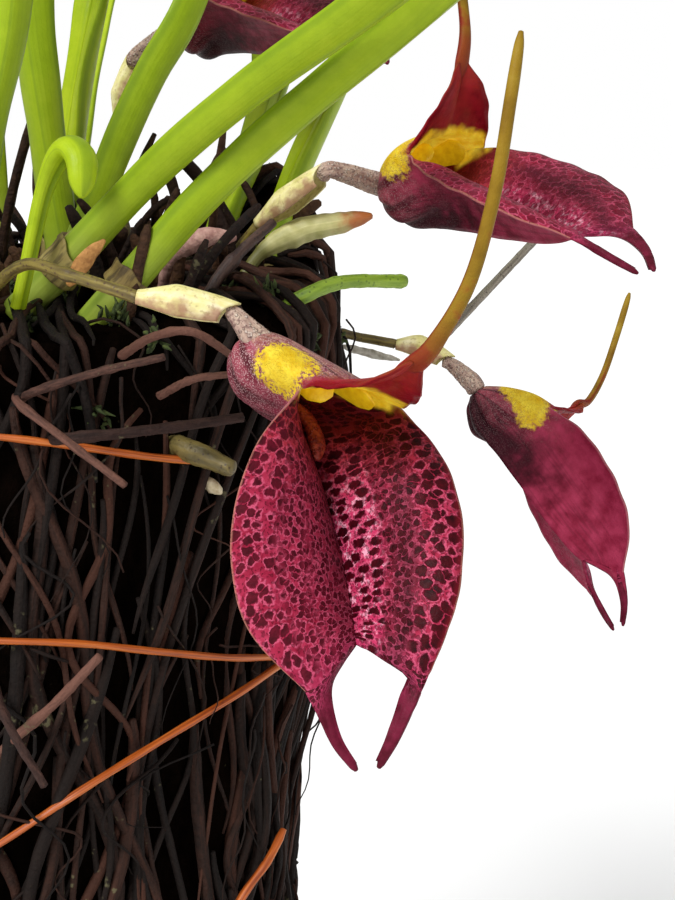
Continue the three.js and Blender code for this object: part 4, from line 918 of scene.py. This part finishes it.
def calyx_shell(piece, seed, sway):
    """The three joined sepals as one open surface in the flower's own frame."""
    tube_rows = np.linspace(0, THROAT, 24)
    rows = np.concatenate([tube_rows, np.linspace(THROAT, 1, 72)[1:]])
    across = np.linspace(-1, 1, 97)
    middle = len(across) // 2
    share = np.abs(across)[None, :]
    low = sepal_points(rows, across)
    low[..., 0] += 1.2 * sway * profile(TAIL_SWAY, low[..., 2]) * np.clip(low[..., 0] / 3, 0, 1)
    free = smoothstep(rows, THROAT, THROAT + 0.12)[:, None]
    low[..., 1] += 0.08 * free * share ** 8 * np.sin(rows * 57 + seed)[:, None]
    low[..., 1] += 0.1 * free * wavelet(low, 2.6, seed) * (1 - share ** 6)
    on_tube = (smoothstep(rows, 0.03, 0.12) * (1 - smoothstep(rows, 0.8 * THROAT, 1.4 * THROAT)))[:, None]
    low[..., 1] -= RIDGE_HEIGHT * on_tube * np.cos(2 * math.pi * TUBE_RIDGES * share) * (1 - share ** 2)
    v = lengths(low[:, 3 * middle // 2])
    u = lengths(low)
    u -= u[:, middle:middle + 1]
    reach = np.where(rows < THROAT, rows / THROAT, 1 + (rows - THROAT) / (1 - THROAT))[:, None]
    low_index = piece.add(low, u=u + seed * 7, v=v[:, None], share=share, reach=reach, side=across)
    piece.quads(low_index)

    # Webs that carry each lower lobe on to its tail
    web_rows = evenly(30)[:, None]
    for side in (-1, 1):
        lobe, base = low_index[-1, middle::side], low[-1, middle::side]
        part = evenly(len(lobe))
        inner = swayed(smooth_curve(WEB_INNER, web_rows[:, 0]), side, sway, GAP_SWAY)[:, None]
        outer = swayed(smooth_curve(WEB_OUTER, web_rows[:, 0]), side, 0.85 * sway, TAIL_SWAY)[:, None]
        web = inner + (outer - inner) * part[:, None]
        web += (base - web[:1]) * (1 - web_rows[..., None]) ** 1.5
        rest = piece.add(web[1:], u=u[-1, -1] * side * part + seed * 7, v=v[-1] + 9 * web_rows[1:],
                         share=0.95 * part, reach=2 + 0.75 * web_rows[1:], side=side * part)
        piece.quads(np.vstack([lobe[None], rest]), flip=side < 0)

    # The roof of the tube shares the lower sepals' margins, and its blade runs on from the throat
    across = np.linspace(-1, 1, 49)
    share = np.abs(across)
    roof = roof_points(tube_rows, across)
    blade_rows = evenly(40)[1:]
    past = blade_rows[:, None]
    blade = blade_points(blade_rows, across)
    blade[..., 2] += 0.35 * (1 - share) * share * (1 - past)
    blade += (roof[-1:] - blade_points(np.zeros(1), across)) * (1 - smoothstep(past, 0, 0.5))[..., None]
    blade[..., 2] += 0.12 * share ** 4 * np.sin(past * 23 + seed)
    whole = np.concatenate([roof, blade])
    u = lengths(whole)
    u -= u[:, len(across) // 2, None]
    v = np.concatenate([tube_rows / THROAT * 9, 9 + blade_rows * 9])[:, None]
    reach = np.concatenate([tube_rows / THROAT, 1 + blade_rows])[:, None]
    values = {k: np.broadcast_to(value, u.shape)
              for k, value in dict(u=u + seed * 5, v=v, share=share, reach=reach, upper=1.0).items()}
    index = np.zeros(u.shape, int)
    tube = len(tube_rows)
    index[:tube, 0], index[:tube, -1] = low_index[:tube, 0], low_index[:tube, -1]
    for part in (np.s_[:tube, 1:-1], np.s_[tube:]):
        index[part] = piece.add(whole[part], **{k: value[part] for k, value in values.items()})
    piece.quads(index, flip=True)
    ring = np.concatenate([low_index[0], index[0, 1:-1][::-1]])
    piece.fan(ring, np.vstack([low[0], roof[0]]).mean(axis=0), share=0.3)


def calyx(flower, seed, look):
    piece = Piece()
    calyx_shell(piece, seed, flower["sway"])
    share = np.concatenate([values["share"] for _, values in piece.values])
    piece.thicken(SEPAL_THICKNESS * (1 - 0.6 * smoothstep(share, 0.8, 1)))
    points = np.vstack(piece.vertices)
    from_patch = np.linalg.norm((points - flower["patch"]) / flower["patch_size"], axis=1)
    piece.mark("patch", np.maximum(0, 1 - from_patch / 2))
    piece.mark("faint", np.full(len(points), float(flower["faint"])))
    piece.vertices = [placed(points, flower)]
    share = evenly(90)
    radii = smooth_profile([(0, 0.1), (0.06, 0.7), (0.11, 1.0), (0.18, 0.8), (0.27, 0.64), (0.5, 0.56),
                            (0.9, 0.5), (0.97, 0.4), (1, 0.2)], share)
    piece.tube(even_path(placed([(0, 8.6, 0.35), (0, 11, 0.85)] + flower["tail"], flower), share), radii, 18,
               hint=facing(flower, (0, 9, 0), (0, 9, 1)), size=flower["size"],
               flatten=profile([(0, 0.15), (0.08, 0.3), (0.2, 0.75), (0.3, 0.85), (1, 1)], share), inner=1.0,
               upper=1.0, u=seed * 3, v=18 + 30 * share,
               reach=profile([(0, 1.6), (0.12, 2.0), (1, 3)], share))
    share = evenly(44)
    for side in (-1, 1):
        path = even_path(placed(swayed(LOWER_TAIL, side, flower["sway"], TAIL_SWAY), flower), share)
        piece.tube(path, [(0, 0.1), (0.2, 0.4), (0.4, 0.52), (0.75, 0.44), (0.95, 0.34), (1, 0.18)], 16,
                   hint=facing(flower, (side * 5, 0, 22), (side * 5, 1, 22)), size=flower["size"],
                   flatten=0.8,
                   inner=1.0, share=0.5, u=seed * 7 + side * 3, v=24 + 11 * share, reach=2.1 + 0.9 * share,
                   side=side)
    name = flower["name"]
    piece.build(f"flower_{name}_calyx", look, "calyx", f"flower_{name}_perianth")


def flower_inside(flower, lip_look, petal_look):
    """The lip with its rough tongue, and two small petals either side of it in the throat."""
    name = flower["name"]
    share = evenly(70)
    radii = smooth_profile([(0, 0.3), (0.05, 0.5), (0.35, 0.55), (0.55, 0.7), (0.75, 0.85), (0.9, 0.9),
                            (0.98, 0.5), (1, 0.2)], share)
    lip = Piece()
    lip.tube(even_path(placed(TONGUE, flower), share), radii, 18, hint=facing(flower, (0, 0, 0), (0, 1, 0)),
             size=flower["size"], flatten=0.6, rough=lumps(0.1, 0.5, 0.16))
    lip.build(f"flower_{name}_tongue", lip_look, "lip", f"flower_{name}_lip")
    petals = Piece()
    for side in (-1, 1):
        petal = [(side * 0.9, -1.6, -6), (side * 1.9, 0.2, -4), (side * 2.4, 1.9, -1.8),
                 (side * 2.2, 3.2, 0.3)]
        petals.tube(even_path(placed(petal, flower), evenly(30)),
                    [(0, 0.3), (0.4, 1.0), (0.8, 1.5), (0.95, 1.0), (1, 0.2)], 14,
                    hint=facing(flower, (0, 0, 0), (side, 0.4, 0)), size=flower["size"], flatten=0.22)
    petals.build(f"flower_{name}_petals", petal_look, "lip")


def ovary(flower, look):
    before, start = seen(flower["bract"])[-2:]
    heading = unit(start - before)
    start = start + heading * 0.1
    if "ovary_end" in flower:
        points = [start, start + heading * 0.7] + seen([flower["ovary_end"]])
        radii = [(0, 0.65), (0.3, 0.85), (0.75, 1.25), (0.95, 1.45), (1, 1.3)]
    else:
        points = [start, start + heading * 1.3, *placed([(0, -3.5, -9), (0, -3.5, -7.2 - GAP)], flower)]
        radii = [(0, 0.75), (0.3, 0.95), (0.75, 1.2), (0.95, 1.15), (1, 1.0)]

    def ribs(path, angle):
        spots = path[:, None] + 1.4 * np.stack([np.cos(angle), np.sin(angle), np.sin(2 * angle)], -1)
        return 0.07 * np.cos(6 * angle) + 0.06 * wavelet(spots, 0.2)

    piece = Piece()
    piece.tube(even_path(points, evenly(40)), radii, 40, rough=ribs)
    piece.build(f"flower_{flower['name']}_speckled_ovary", look, "ovary", f"flower_{flower['name']}_ovary")


def bract(flower, look):
    """A papery sheath, split down one side, drawn out to a point on the other."""
    share = evenly(30)
    path = even_path(seen(flower["bract"]), share)
    _, normals, across = frames_along(path, VIEW_UP)
    angle = np.linspace(0.12, 0.88, 44) * 2 * math.pi + math.pi
    radii = smooth_profile([(0, 0.7), (0.12, 0.92), (0.42, 1.6), (0.8, 1.38), (1, 1.12)], share)
    points = path[:, None] + radii[:, None, None] * (np.cos(angle)[:, None] * normals[:, None]
                                      + np.sin(angle)[:, None] * across[:, None])
    drawn = (1.6 * np.cos((angle - angle.mean()) / 2) ** 6 - 0.6)[:, None]
    heading = unit(path[-1] - path[-4])
    points += heading * drawn * smoothstep(share, 0.5, 1)[:, None, None]
    points += 0.05 * wavelet(points, 0.8)[..., None] * heading
    piece = Piece()
    piece.quads(piece.add(points, turn=evenly(len(angle)), along=share[:, None]))
    piece.thicken(BRACT_THICKNESS)
    piece.build(f"flower_{flower['name']}_papery_bract", look, "bract", f"flower_{flower['name']}_bract")


def round_stem(name, points, radii, look, slot, node, uneven=0.05, sides=14, stations=60):
    piece = Piece()
    piece.tube(even_path(seen(points), evenly(stations)), radii, sides,
               rough=lumps(uneven, 0.6, 0.7, len(name)))
    piece.build(name, look, slot, node)


def make_flowers():
    calyx_look = calyx_material()
    lip_look = lip_material()
    petal_look = petal_material()
    ovary_look = ovary_material()
    bract_look = bract_material()
    stalk_look = stem_material("flower_stalk", "4c3c1a", "80702e", "42241c")
    for number, flower in enumerate(FLOWERS):
        calyx(flower, 1.0 + 2.3 * number, calyx_look)
        flower_inside(flower, lip_look, petal_look)
        ovary(flower, ovary_look)
        bract(flower, bract_look)
        round_stem(f"flower_{flower['name']}_peduncle", flower["stalk"] + flower["bract"][:1], PEDUNCLE,
                   stalk_look, "flower_stalk", f"flower_{flower['name']}_stalk")


# The root ball's skin

def ball_radius(z):
    return profile(BALL_RADIUS_BY_HEIGHT, z)


def ball_lump(angle, z):
    return smoothstep(z, BALL_SMOOTH_BELOW, BALL_SMOOTH_BELOW + 14) * (
        0.9 * np.sin(3 * angle + 0.06 * z) + 0.8 * np.sin(5 * angle - 0.1 * z + 1)
        + 0.6 * np.sin(9 * angle + 0.06 * z + 2 * np.sin(0.07 * z)))


def ball_top(x, y):
    mound = 9 * np.exp(-((x - 28) ** 2 + (y - 17) ** 2) / (2 * 6.5 ** 2))
    return BALL_CROWN + 0.02 * x + 0.1 * y + 0.5 * np.sin(0.5 * x + 1) * np.cos(0.45 * y) + mound


def on_ball(angle, reach, lift=0.0):
    """A point of the root ball's skin: reach in millimetres down its side, or below 0 in over its top."""
    shoulder = ball_radius(BALL_SHOULDER) + ball_lump(angle, BALL_SHOULDER)
    share = np.clip(1 + np.minimum(reach, 0) / shoulder, 0, 1)
    z_side = BALL_SHOULDER - np.maximum(reach, 0)
    over = np.minimum(reach, 0) < 0
    radius = np.where(over, share * shoulder, ball_radius(z_side) + ball_lump(angle, z_side))
    z_top = ball_top(radius * np.cos(angle), radius * np.sin(angle)) - profile(BALL_EDGE_DROP, share)
    z = np.where(over, np.maximum(z_top, BALL_SHOULDER), z_side)
    tilt = smoothstep(reach, -5, 1) * math.pi / 2
    return turned(radius + lift * np.sin(tilt), angle, z + lift * np.cos(tilt))


# Leaves

def hidden_leaf_points(x, y, towards, lean, length):
    outward = np.array([math.cos(math.radians(towards)), math.sin(math.radians(towards)), 0])
    place = np.array([x, y, float(ball_top(x, y)) - 0.5])
    stretches = 6
    points = []
    for i in range(stretches + 1):
        points.append(place.copy())
        angle = math.radians(lean * (0.55 + 0.95 * i / stretches))
        place += length / stretches * (outward * math.sin(angle) + np.array([0, 0, math.cos(angle)]))
    return points


def leaf(number, points, leaf_look, sheath_look):
    """A thick leaf on a grooved stalk, keeled below, and the dry sheath round its foot."""
    heading = unit(points[1] - points[0])
    share = np.concatenate([np.linspace(0, 0.96, 66), np.linspace(0.965, 1, 10)])
    path = even_path([points[0] - heading * LEAF_ROOT_DEPTH] + points, share)
    share = share[:, None]
    tangents = unit(np.gradient(path, axis=0))
    side = unit(np.cross(tangents, path * (-1, -1, 0) + (0, 0, 30)))
    normal = np.cross(side, tangents)
    half_width = LEAF_BASE_HALF_WIDTH * smooth_profile(LEAF_HALF_WIDTH, share)
    thickness = profile(LEAF_THICKNESS, share)
    across, rise = np.cos(turns(40)), np.sin(turns(40))
    blade = smoothstep(share, 0.35, 0.6)
    height = smooth_profile(LEAF_FOLD, share) * half_width * (np.abs(across) ** 1.6 - 0.1)
    height += thickness * np.where(rise > 0, 0.35, 0.65) * np.sign(rise) * np.abs(rise) ** 0.85
    height -= LEAF_KEEL_DEPTH * np.exp(-(across / 0.13) ** 2) * (rise < 0) * blade * np.minimum(1, thickness)
    height -= LEAF_GROOVE_DEPTH * np.exp(-(across / 0.1) ** 2) * (rise > 0) * np.minimum(1, thickness)
    height += LEAF_WAVE * blade * np.abs(across) ** 3 * np.sin(share * 31 + number * 2)
    width = across * half_width * (1 + 0.03 * np.sin(share * 47 + number * 3))
    piece = Piece()
    index = piece.add(path[:, None] + side[:, None] * width[..., None] + normal[:, None] * height[..., None],
                      along=share, across=across, number=float(number), back=(rise < 0) * 1.0)
    piece.quads(index, wrap=True)
    piece.fan(index[0], path[0], number=float(number))
    piece.fan(index[-1], path[-1] + tangents[-1] * 0.35, flip=True, along=1.0, number=float(number))
    name = f"leaf_{number:02d}"
    piece.build(f"{name}_blade", leaf_look, "leaf", name)

    # The sheath is split on one side and torn along its upper edge
    rows = evenly(16)
    top = LEAF_ROOT_DEPTH + 1.6 + 0.9 * math.sin(number * 2.4)
    places = np.linspace(LEAF_ROOT_DEPTH - 1, top, len(rows)) / lengths(path)[-1]
    spine = np.stack([np.interp(places, share[:, 0], path[:, i]) for i in range(3)], axis=1)
    turn = np.linspace(0.06, 0.94, 40) * 2 * math.pi + number
    radius = LEAF_BASE_HALF_WIDTH * profile([(0, 1.15), (0.6, 1.12), (1, 1.2)], rows)
    shell = spine[:, None] + radius[:, None, None] * (np.cos(turn)[:, None] * side[8]
                                                      + np.sin(turn)[:, None] * normal[8])
    torn = 0.9 * np.sin(turn + number) + 0.15 * np.sin(turn * 5 + number * 2)
    shell += heading * (torn * rows[:, None] ** 2)[..., None]
    shell += 0.12 * wavelet(shell, 0.9, number)[..., None] * normal[8]
    sheath = Piece()
    sheath.quads(sheath.add(shell, turn=evenly(len(turn)), along=rows[:, None],
                            tone=0.5 + 0.5 * math.sin(number * 1.7)))
    sheath.thicken(SHEATH_THICKNESS)
    sheath.build(f"{name}_sheath", sheath_look, "dry_stem")


def young_leaf(number, look):
    """A short leaf still rolled up, bent over at its top."""
    share = np.concatenate([np.linspace(0, 0.95, 50), np.linspace(0.96, 1, 8)])
    path = even_path(seen(YOUNG_LEAF), share)
    path = np.vstack([path[:1] - unit(path[1] - path[0]) * 4, path])
    share = np.concatenate([[0], share])
    radii = smooth_profile([(0, 0.85), (0.4, 1), (0.6, 1.4), (0.8, 1.6), (0.93, 1.3), (0.98, 0.7),
                            (1, 0.3)], share)

    def rolled(places, angle):
        return 0.03 * np.sin(3 * angle) - 0.32 * np.exp(-(np.minimum(angle, 2 * math.pi - angle) / 0.35) ** 2)

    piece = Piece()
    piece.tube(path, radii, 28, hint=direction(0.8, 0.5, 0.4), flatten=0.8, rough=rolled,
               along=0.2 + 0.6 * share,
               across=np.cos(turns(28))[None, :], number=float(number), back=0.0)
    piece.build("leaf_17_rolled", look, "leaf", "leaf_17")


def make_leaves():
    leaf_look = leaf_material()
    sheath_look = sheath_material()
    lines = [seen(points) for points in SEEN_LEAVES]
    lines += [hidden_leaf_points(*hidden) for hidden in HIDDEN_LEAVES]
    for number, points in enumerate(lines):
        leaf(number + 1, points, leaf_look, sheath_look)
    young_leaf(len(lines) + 1, leaf_look)


# Root ball

def root_ball_core(look):
    """The dark, pitted body that the roots lie on, closed below and over its top."""
    angle = turns(210)
    reach = np.concatenate([np.linspace(-32, -6, 28), np.linspace(-5.3, 100, 150), [105, 115, 128]])[:, None]
    plain = on_ball(angle, reach)
    rough = 0.45 * wavelet(plain * (1, 1, 0.3), 1.1, 1.0) + 0.35 * wavelet(plain * (1, 1, 0.25), 0.5, 4.0)
    rough += 0.5 * wavelet(plain * (1, 1, 0.6), 4.0, 2.0)
    points = on_ball(angle, reach, (rough - CORE_DEPTH) * smoothstep(128 - reach, 0, 20))
    piece = Piece()
    index = piece.add(points, tone=0.25 + 0.2 * rough, turn=np.abs(1 - angle / math.pi) * 30,
                      along=reach / 20)
    piece.quads(index, wrap=True, flip=True)
    piece.fan(index[0], points[0].mean(axis=0), flip=True, tone=0.3)
    piece.fan(index[-1], points[-1].mean(axis=0), tone=0.3, along=6.0)
    piece.build("root_ball_core", look, "roots", "root_ball")


def root_path(random, start, length, drift, wander, lift, lift_spread, stations):
    """A wandering path down the root ball's skin."""
    share = evenly(stations)
    phase = random.uniform(0, 6.28, 4)

    def wave(slow, fast, weight, first):
        return (np.sin(share * random.uniform(*slow) + phase[first])
                + weight * np.sin(share * random.uniform(*fast) + phase[first + 1]))

    angle = random.uniform(0, 2 * math.pi) + math.radians(drift) * share * length / 100
    angle = angle + math.radians(wander) * wave((2, 5), (6, 12), 0.5, 0)
    return on_ball(angle, start + length * share, lift + lift_spread * wave((3, 8), (12, 20), 0.4, 2))


def make_roots(look):
    random = np.random.default_rng(11)
    groups = [Piece() for _ in range(3)]
    for kind in ROOT_KINDS:
        for number in range(kind["count"]):
            start = random.uniform(*kind["start"])
            length = min(random.uniform(*kind["length"]), kind["end"] - start)
            path = root_path(random, start, length, random.normal(*kind["drift"]),
                             random.uniform(*kind["wander"]),
                             random.uniform(*kind["lift"]), random.uniform(*kind["spread"]), kind["stations"])
            radius = kind["radii"][0] if len(kind["radii"]) == 1 else random.choice(kind["radii"])
            radius = radius * random.uniform(*kind["radius"])
            width = profile(kind["taper"], evenly(len(path))) * radius
            width = width * (1 + kind["wobble"] * wavelet(path, 1.6, number))
            groups[kind["groups"][number % 2]].tube(path, width, kind["sides"], tone=random.uniform(0, 1))
    for number, group in enumerate(groups):
        group.build(f"roots_{number + 1}", look, "roots")


def make_twigs(look, stub_look):
    rough = lumps(0.12, 0.7, 0.6)
    share = evenly(60)
    knots = 1 + 0.2 * np.exp(-((share - 0.55) / 0.03) ** 2) + 0.15 * np.exp(-((share - 0.8) / 0.02) ** 2)
    piece = Piece()
    for points, radius, tone in TWIGS:
        piece.tube(even_path(seen(points), share), knots * profile([(0, 1.1), (1, 0.85)], share), 12,
                   size=radius,
                   rough=rough, tone=tone)
    piece.build("dead_twigs", look, "dry_stem")
    stub = Piece()
    stub.tube(even_path(seen(YELLOW_STUB), share), [(0, 0.9), (0.5, 0.95), (0.85, 1.15), (1, 0.8)], 16,
              rough=rough)
    stub.build("old_stem_stub", stub_look, "dry_stem")


def make_old_stalks(look):
    """Dark brown remains of old leaf stalks among the leaves, so many and so dark that they are painted shade
    in the gaps of the crown.
    """
    random = np.random.default_rng(8)
    piece = Piece()
    share = evenly(14)
    for _ in range(OLD_STALK_COUNT):
        x, y = random.normal(10, 13), random.normal(0, 12)
        if math.hypot(x, y) > OLD_STALK_REACH:
            continue
        foot = np.array([x, y, float(ball_top(x, y)) - 1.5])
        lean = unit(np.array([x - 2, y, 0]) / 60 + random.normal(0, 0.16, 3) + (0, 0, 1))
        bend = random.normal(0, 0.3, 3)
        length = random.uniform(3, 9) + random.uniform(0, 1) ** 4 * 12
        path = foot + length * (share[:, None] * lean + share[:, None] ** 2 * bend)
        width = random.uniform(0.4, 0.95) * profile([(0, 1.1), (0.7, 0.9), (0.96, 0.85), (1, 0.5)], share)
        piece.tube(path, width * (1 + 0.15 * wavelet(path, 1.5, x)), 7, flatten=random.uniform(0.4, 1),
                   tone=random.uniform(0, 1))
    piece.build("old_leaf_stalks_as_shade", look, "dry_stem")


def make_moss(look):
    """Small tufts of moss on the crown and the shoulder."""
    random = np.random.default_rng(5)
    piece = Piece()
    share = evenly(5)[:, None]
    for _ in range(MOSS_TUFTS):
        angle, reach = random.uniform(0, 2 * math.pi), random.uniform(-22, 14)
        centre = on_ball(np.array(angle), np.array(reach), -0.6)
        outward = unit(on_ball(np.array(angle), np.array(reach), 1.0) - centre)
        for _ in range(MOSS_SHOOTS):
            lean = unit(outward + random.normal(0, 0.55, 3))
            bend = random.normal(0, 0.35, 3)
            length = random.uniform(0.7, 1.7)
            foot = centre + random.normal(0, 0.6, 3)
            path = foot + lean * share * length + bend * share ** 2
            piece.tube(path, [(0, 0.2), (0.5, 0.24), (1, 0.05)], 4)
    piece.build("moss", look, "roots")


def make_root_ball():
    # The core and the roots are near black: the roots' own dark brown, with painted shade for the shadowed
    # depth of the root mass
    root_ball_core(root_material("root_core", ("040302", "0b0604", "150c08"), -0.05, 0.0))
    make_roots(root_material("roots", ("0b0604", "1d120d", "42261b"), 0.0))
    twig_look = root_material("twig", ("1c110f", "3c2822", "704c40"), 0.02)
    make_twigs(twig_look, stem_material("stub", "524824", "7c6c3a", "3c2c18"))
    make_old_stalks(root_material("old_stalk", ("120b08", "2c1b13", "5a3d28"), 0.0))
    make_moss(moss_material())


# Pot and potting mix

def make_pot(look):
    """A thrown pot: its outline turned round, with three drain holes through the floor."""
    corners = np.array(POT_OUTLINE)
    outline = []
    for start, end in zip(corners, corners[1:]):
        count = max(1, int(np.linalg.norm(end - start) / 0.9))
        outline += [start + (end - start) * k / count for k in range(count)]
    r, z = np.array(outline + [corners[-1]]).T[..., None]
    angle = turns(160)
    ripples = smoothstep(z, 2, 6) * (0.07 * np.sin(z * 2.1) + 0.05 * np.sin(z * 3.7 + 1))
    piece = Piece()
    radius = r + ripples + 0.12 * np.sin(2 * angle + 0.5) * smoothstep(z, 3, 10)
    index = piece.add(turned(radius, angle, z), height=z / POT_HEIGHT)
    piece.quads(index, wrap=True, flip=True)
    holes = []
    grow, height = np.array(DRAIN_EDGE).T[..., None]
    for number in range(DRAIN_COUNT):
        way = math.radians(90 + 120 * number)
        centre = DRAIN_CIRCLE * np.array([math.cos(way), math.sin(way), 0])
        holes.append(piece.add(centre + turned(DRAIN_RADIUS + grow, turns(40), height), height=0.02))
        piece.quads(holes[-1], wrap=True)
    piece.plate([index[0]] + [hole[0] for hole in holes], flip=True)
    piece.plate([index[-1]] + [hole[-1] for hole in holes])
    piece.build("terracotta_pot", look, "terracotta", "pot")


def bark_chip(piece, random, centre, size, tone):
    """An angular, flattened piece of bark."""
    polar = np.linspace(0.12, math.pi - 0.12, 7)[:, None]
    ball = turned(np.sin(polar), turns(10), np.cos(polar))
    boxy = ball / np.max(np.abs(ball), axis=-1, keepdims=True) ** 0.75
    boxy *= 1 + 0.16 * random.normal(0, 1, boxy.shape[:2])[..., None]
    boxy *= np.array([1.0, random.uniform(0.5, 0.8), random.uniform(0.25, 0.45)]) * size
    yaw, tip, roll = random.uniform(0, 6.28), random.normal(0, 0.3), random.normal(0, 0.3)
    points = boxy @ np.array(Euler((roll, tip, yaw)).to_matrix()).T + centre
    index = piece.add(points, tone=tone)
    piece.quads(index, wrap=True)
    piece.fan(index[0], points[0].mean(axis=0), tone=tone)
    piece.fan(index[-1], points[-1].mean(axis=0), flip=True, tone=tone)


def pot_inner_radius(z):
    return profile(POT_INSIDE, z)


def make_mix(look):
    """A solid body of mix with a ring of loose chips on it."""
    random = np.random.default_rng(3)
    body = Piece()
    outline = [(0.5, 5.4), (27.4, 5.4)]
    outline += [(pot_inner_radius(z) - MIX_GAP, z) for z in np.linspace(7, MIX_TOP - 1, 14)]
    outline += [(pot_inner_radius(MIX_TOP) - MIX_GAP - step, MIX_TOP) for step in np.linspace(0.4, 13, 14)]
    outline += [(24.0, 40.0), (20.0, 26.0), (0.5, 20.5)]
    r, z = np.array(outline).T[..., None]
    points = turned(r, turns(120), z)
    points[..., 2] += 0.8 * (np.abs(z - MIX_TOP) < 0.1) * wavelet(points, 3.0, 2.0)
    index = body.add(points, tone=0.35)
    body.quads(index, wrap=True, flip=True)
    body.fan(index[0], points[0].mean(axis=0), flip=True, tone=0.35)
    body.fan(index[-1], points[-1].mean(axis=0), tone=0.35)
    for layer, count in enumerate(CHIP_LAYERS):
        for _ in range(count):
            size = random.uniform(1.6, 3.4)
            outer = pot_inner_radius(MIX_LEVEL) - size - 0.3
            radius, turn = random.uniform(29.5 + size * 0.5, outer), random.uniform(0, 2 * math.pi)
            height = MIX_LEVEL - 2.2 + layer * 1.5 + random.uniform(-0.4, 0.5)
            bark_chip(body, random, turned(radius, turn, height), size, random.uniform(0, 1))
    body.build("bark_mix", look, "bark_mix", "potting_mix")


# Small stems, needles and scraps

def make_small_stems():
    looks = {"dark": stem_material("dark_stalk", "2c1a16", "50382e", "1c100d", 0.6),
             "grey": stem_material("grey_stalk", "6f665a", "9d9484", "4a3f36", 0.6),
             "green": stem_material("green_stem", "6f8f1e", "96b43a", "54701a"),
             "bud": bud_material(),
             "dry": scrap_material("dry_bract", "8f5f58", "c9a093")}
    for node, name, points, radii, look, slot, uneven, sides, stations in SMALL_STEMS:
        round_stem(name, points, radii, looks[look], slot, node, uneven, sides, stations)


def make_scraps():
    for name, points, radius, flatten, low, high in SCRAPS:
        piece = Piece()
        piece.tube(even_path(seen(points), evenly(40)),
                   [(0, 0.4), (0.15, 0.9), (0.6, 1), (0.85, 0.7), (1, 0.25)],
                   20, size=radius, flatten=flatten, rough=lumps(0.18, 0.9, 0.8))
        piece.build(name, scrap_material(name, low, high), "dry_stem")


def needle_line(points, share):
    angle, height = np.array(points, float).T
    return even_path(on_ball(np.radians(angle), BALL_SHOULDER - height, NEEDLE_RADIUS + NEEDLE_LIFT), share)


def make_needles():
    look = needle_material()
    share = evenly(80)
    radii = profile([(0, 0.75), (0.05, 1), (0.7, 0.95), (1, 0.7)], share) * (1 + 0.05 * np.sin(share * 40))
    for name, parts in NEEDLES.items():
        piece = Piece()
        for points in parts:
            piece.tube(needle_line(points, share), radii, 12, size=NEEDLE_RADIUS, flatten=0.75)
        if len(parts) > 1:
            piece.tube(needle_line(NEEDLE_SHEATH, evenly(16)),
                       [(0, 0.5), (0.3, 0.85), (0.8, 0.8), (1, 0.55)], 12)
        piece.build(f"{name}_fine", look, "pine_needle", name)


make_flowers()
make_leaves()
make_root_ball()
make_pot(pot_material())
make_mix(bark_material())
make_small_stems()
make_scraps()
make_needles()


# Camera, light and floor

def make_stage():
    scene = bpy.context.scene
    scene.view_settings.view_transform = "Standard"
    camera = new_object("camera", bpy.data.cameras.new("camera"))
    camera.data.lens = CAMERA_LENS
    camera.data.sensor_width = CAMERA_SENSOR
    camera.data.clip_start = 0.01
    camera.data.clip_end = 50
    camera.location = seen([(0, 0, CAMERA_DISTANCE)])[0] * MM
    camera.rotation_euler = (math.radians(90) - VIEW_ELEVATION, 0, 0)
    scene.camera = camera

    # The studio is white to look at and softer as a light
    world = bpy.data.worlds.new("studio")
    world.use_nodes = True
    tree = world.node_tree
    soft = tree.nodes["Background"]
    soft.inputs["Strength"].default_value = SOFT_LIGHT
    plain = tree.nodes.new("ShaderNodeBackground")
    for background in (soft, plain):
        background.inputs["Color"].default_value = (1, 1, 1, 1)
    seen_directly = tree.nodes.new("ShaderNodeLightPath").outputs["Is Camera Ray"]
    mix = tree.nodes.new("ShaderNodeMixShader")
    for socket, output in zip(mix.inputs, (seen_directly, soft.outputs[0], plain.outputs[0])):
        tree.links.new(output, socket)
    tree.links.new(mix.outputs[0], tree.nodes["World Output"].inputs["Surface"])
    scene.world = world

    key = bpy.data.lights.new("key_light", "SUN")
    key.energy = KEY_LIGHT
    key.angle = math.radians(24)
    new_object("key_light", key).rotation_euler = (math.radians(46), 0, math.radians(-38))

    mesh = bpy.data.meshes.new("floor")
    far = FLOOR_HALF_WIDTH * MM
    mesh.from_pydata([(-far, -far, 0), (far, -far, 0), (far, far, 0), (-far, far, 0)], [], [(0, 1, 2, 3)])
    paint = Shader("floor", Base_Color=(0.93, 0.93, 0.93, 1), Roughness=0.9, Specular_IOR_Level=0.0)
    mesh.materials.append(paint.material)
    floor = new_object("floor", mesh)


make_stage()
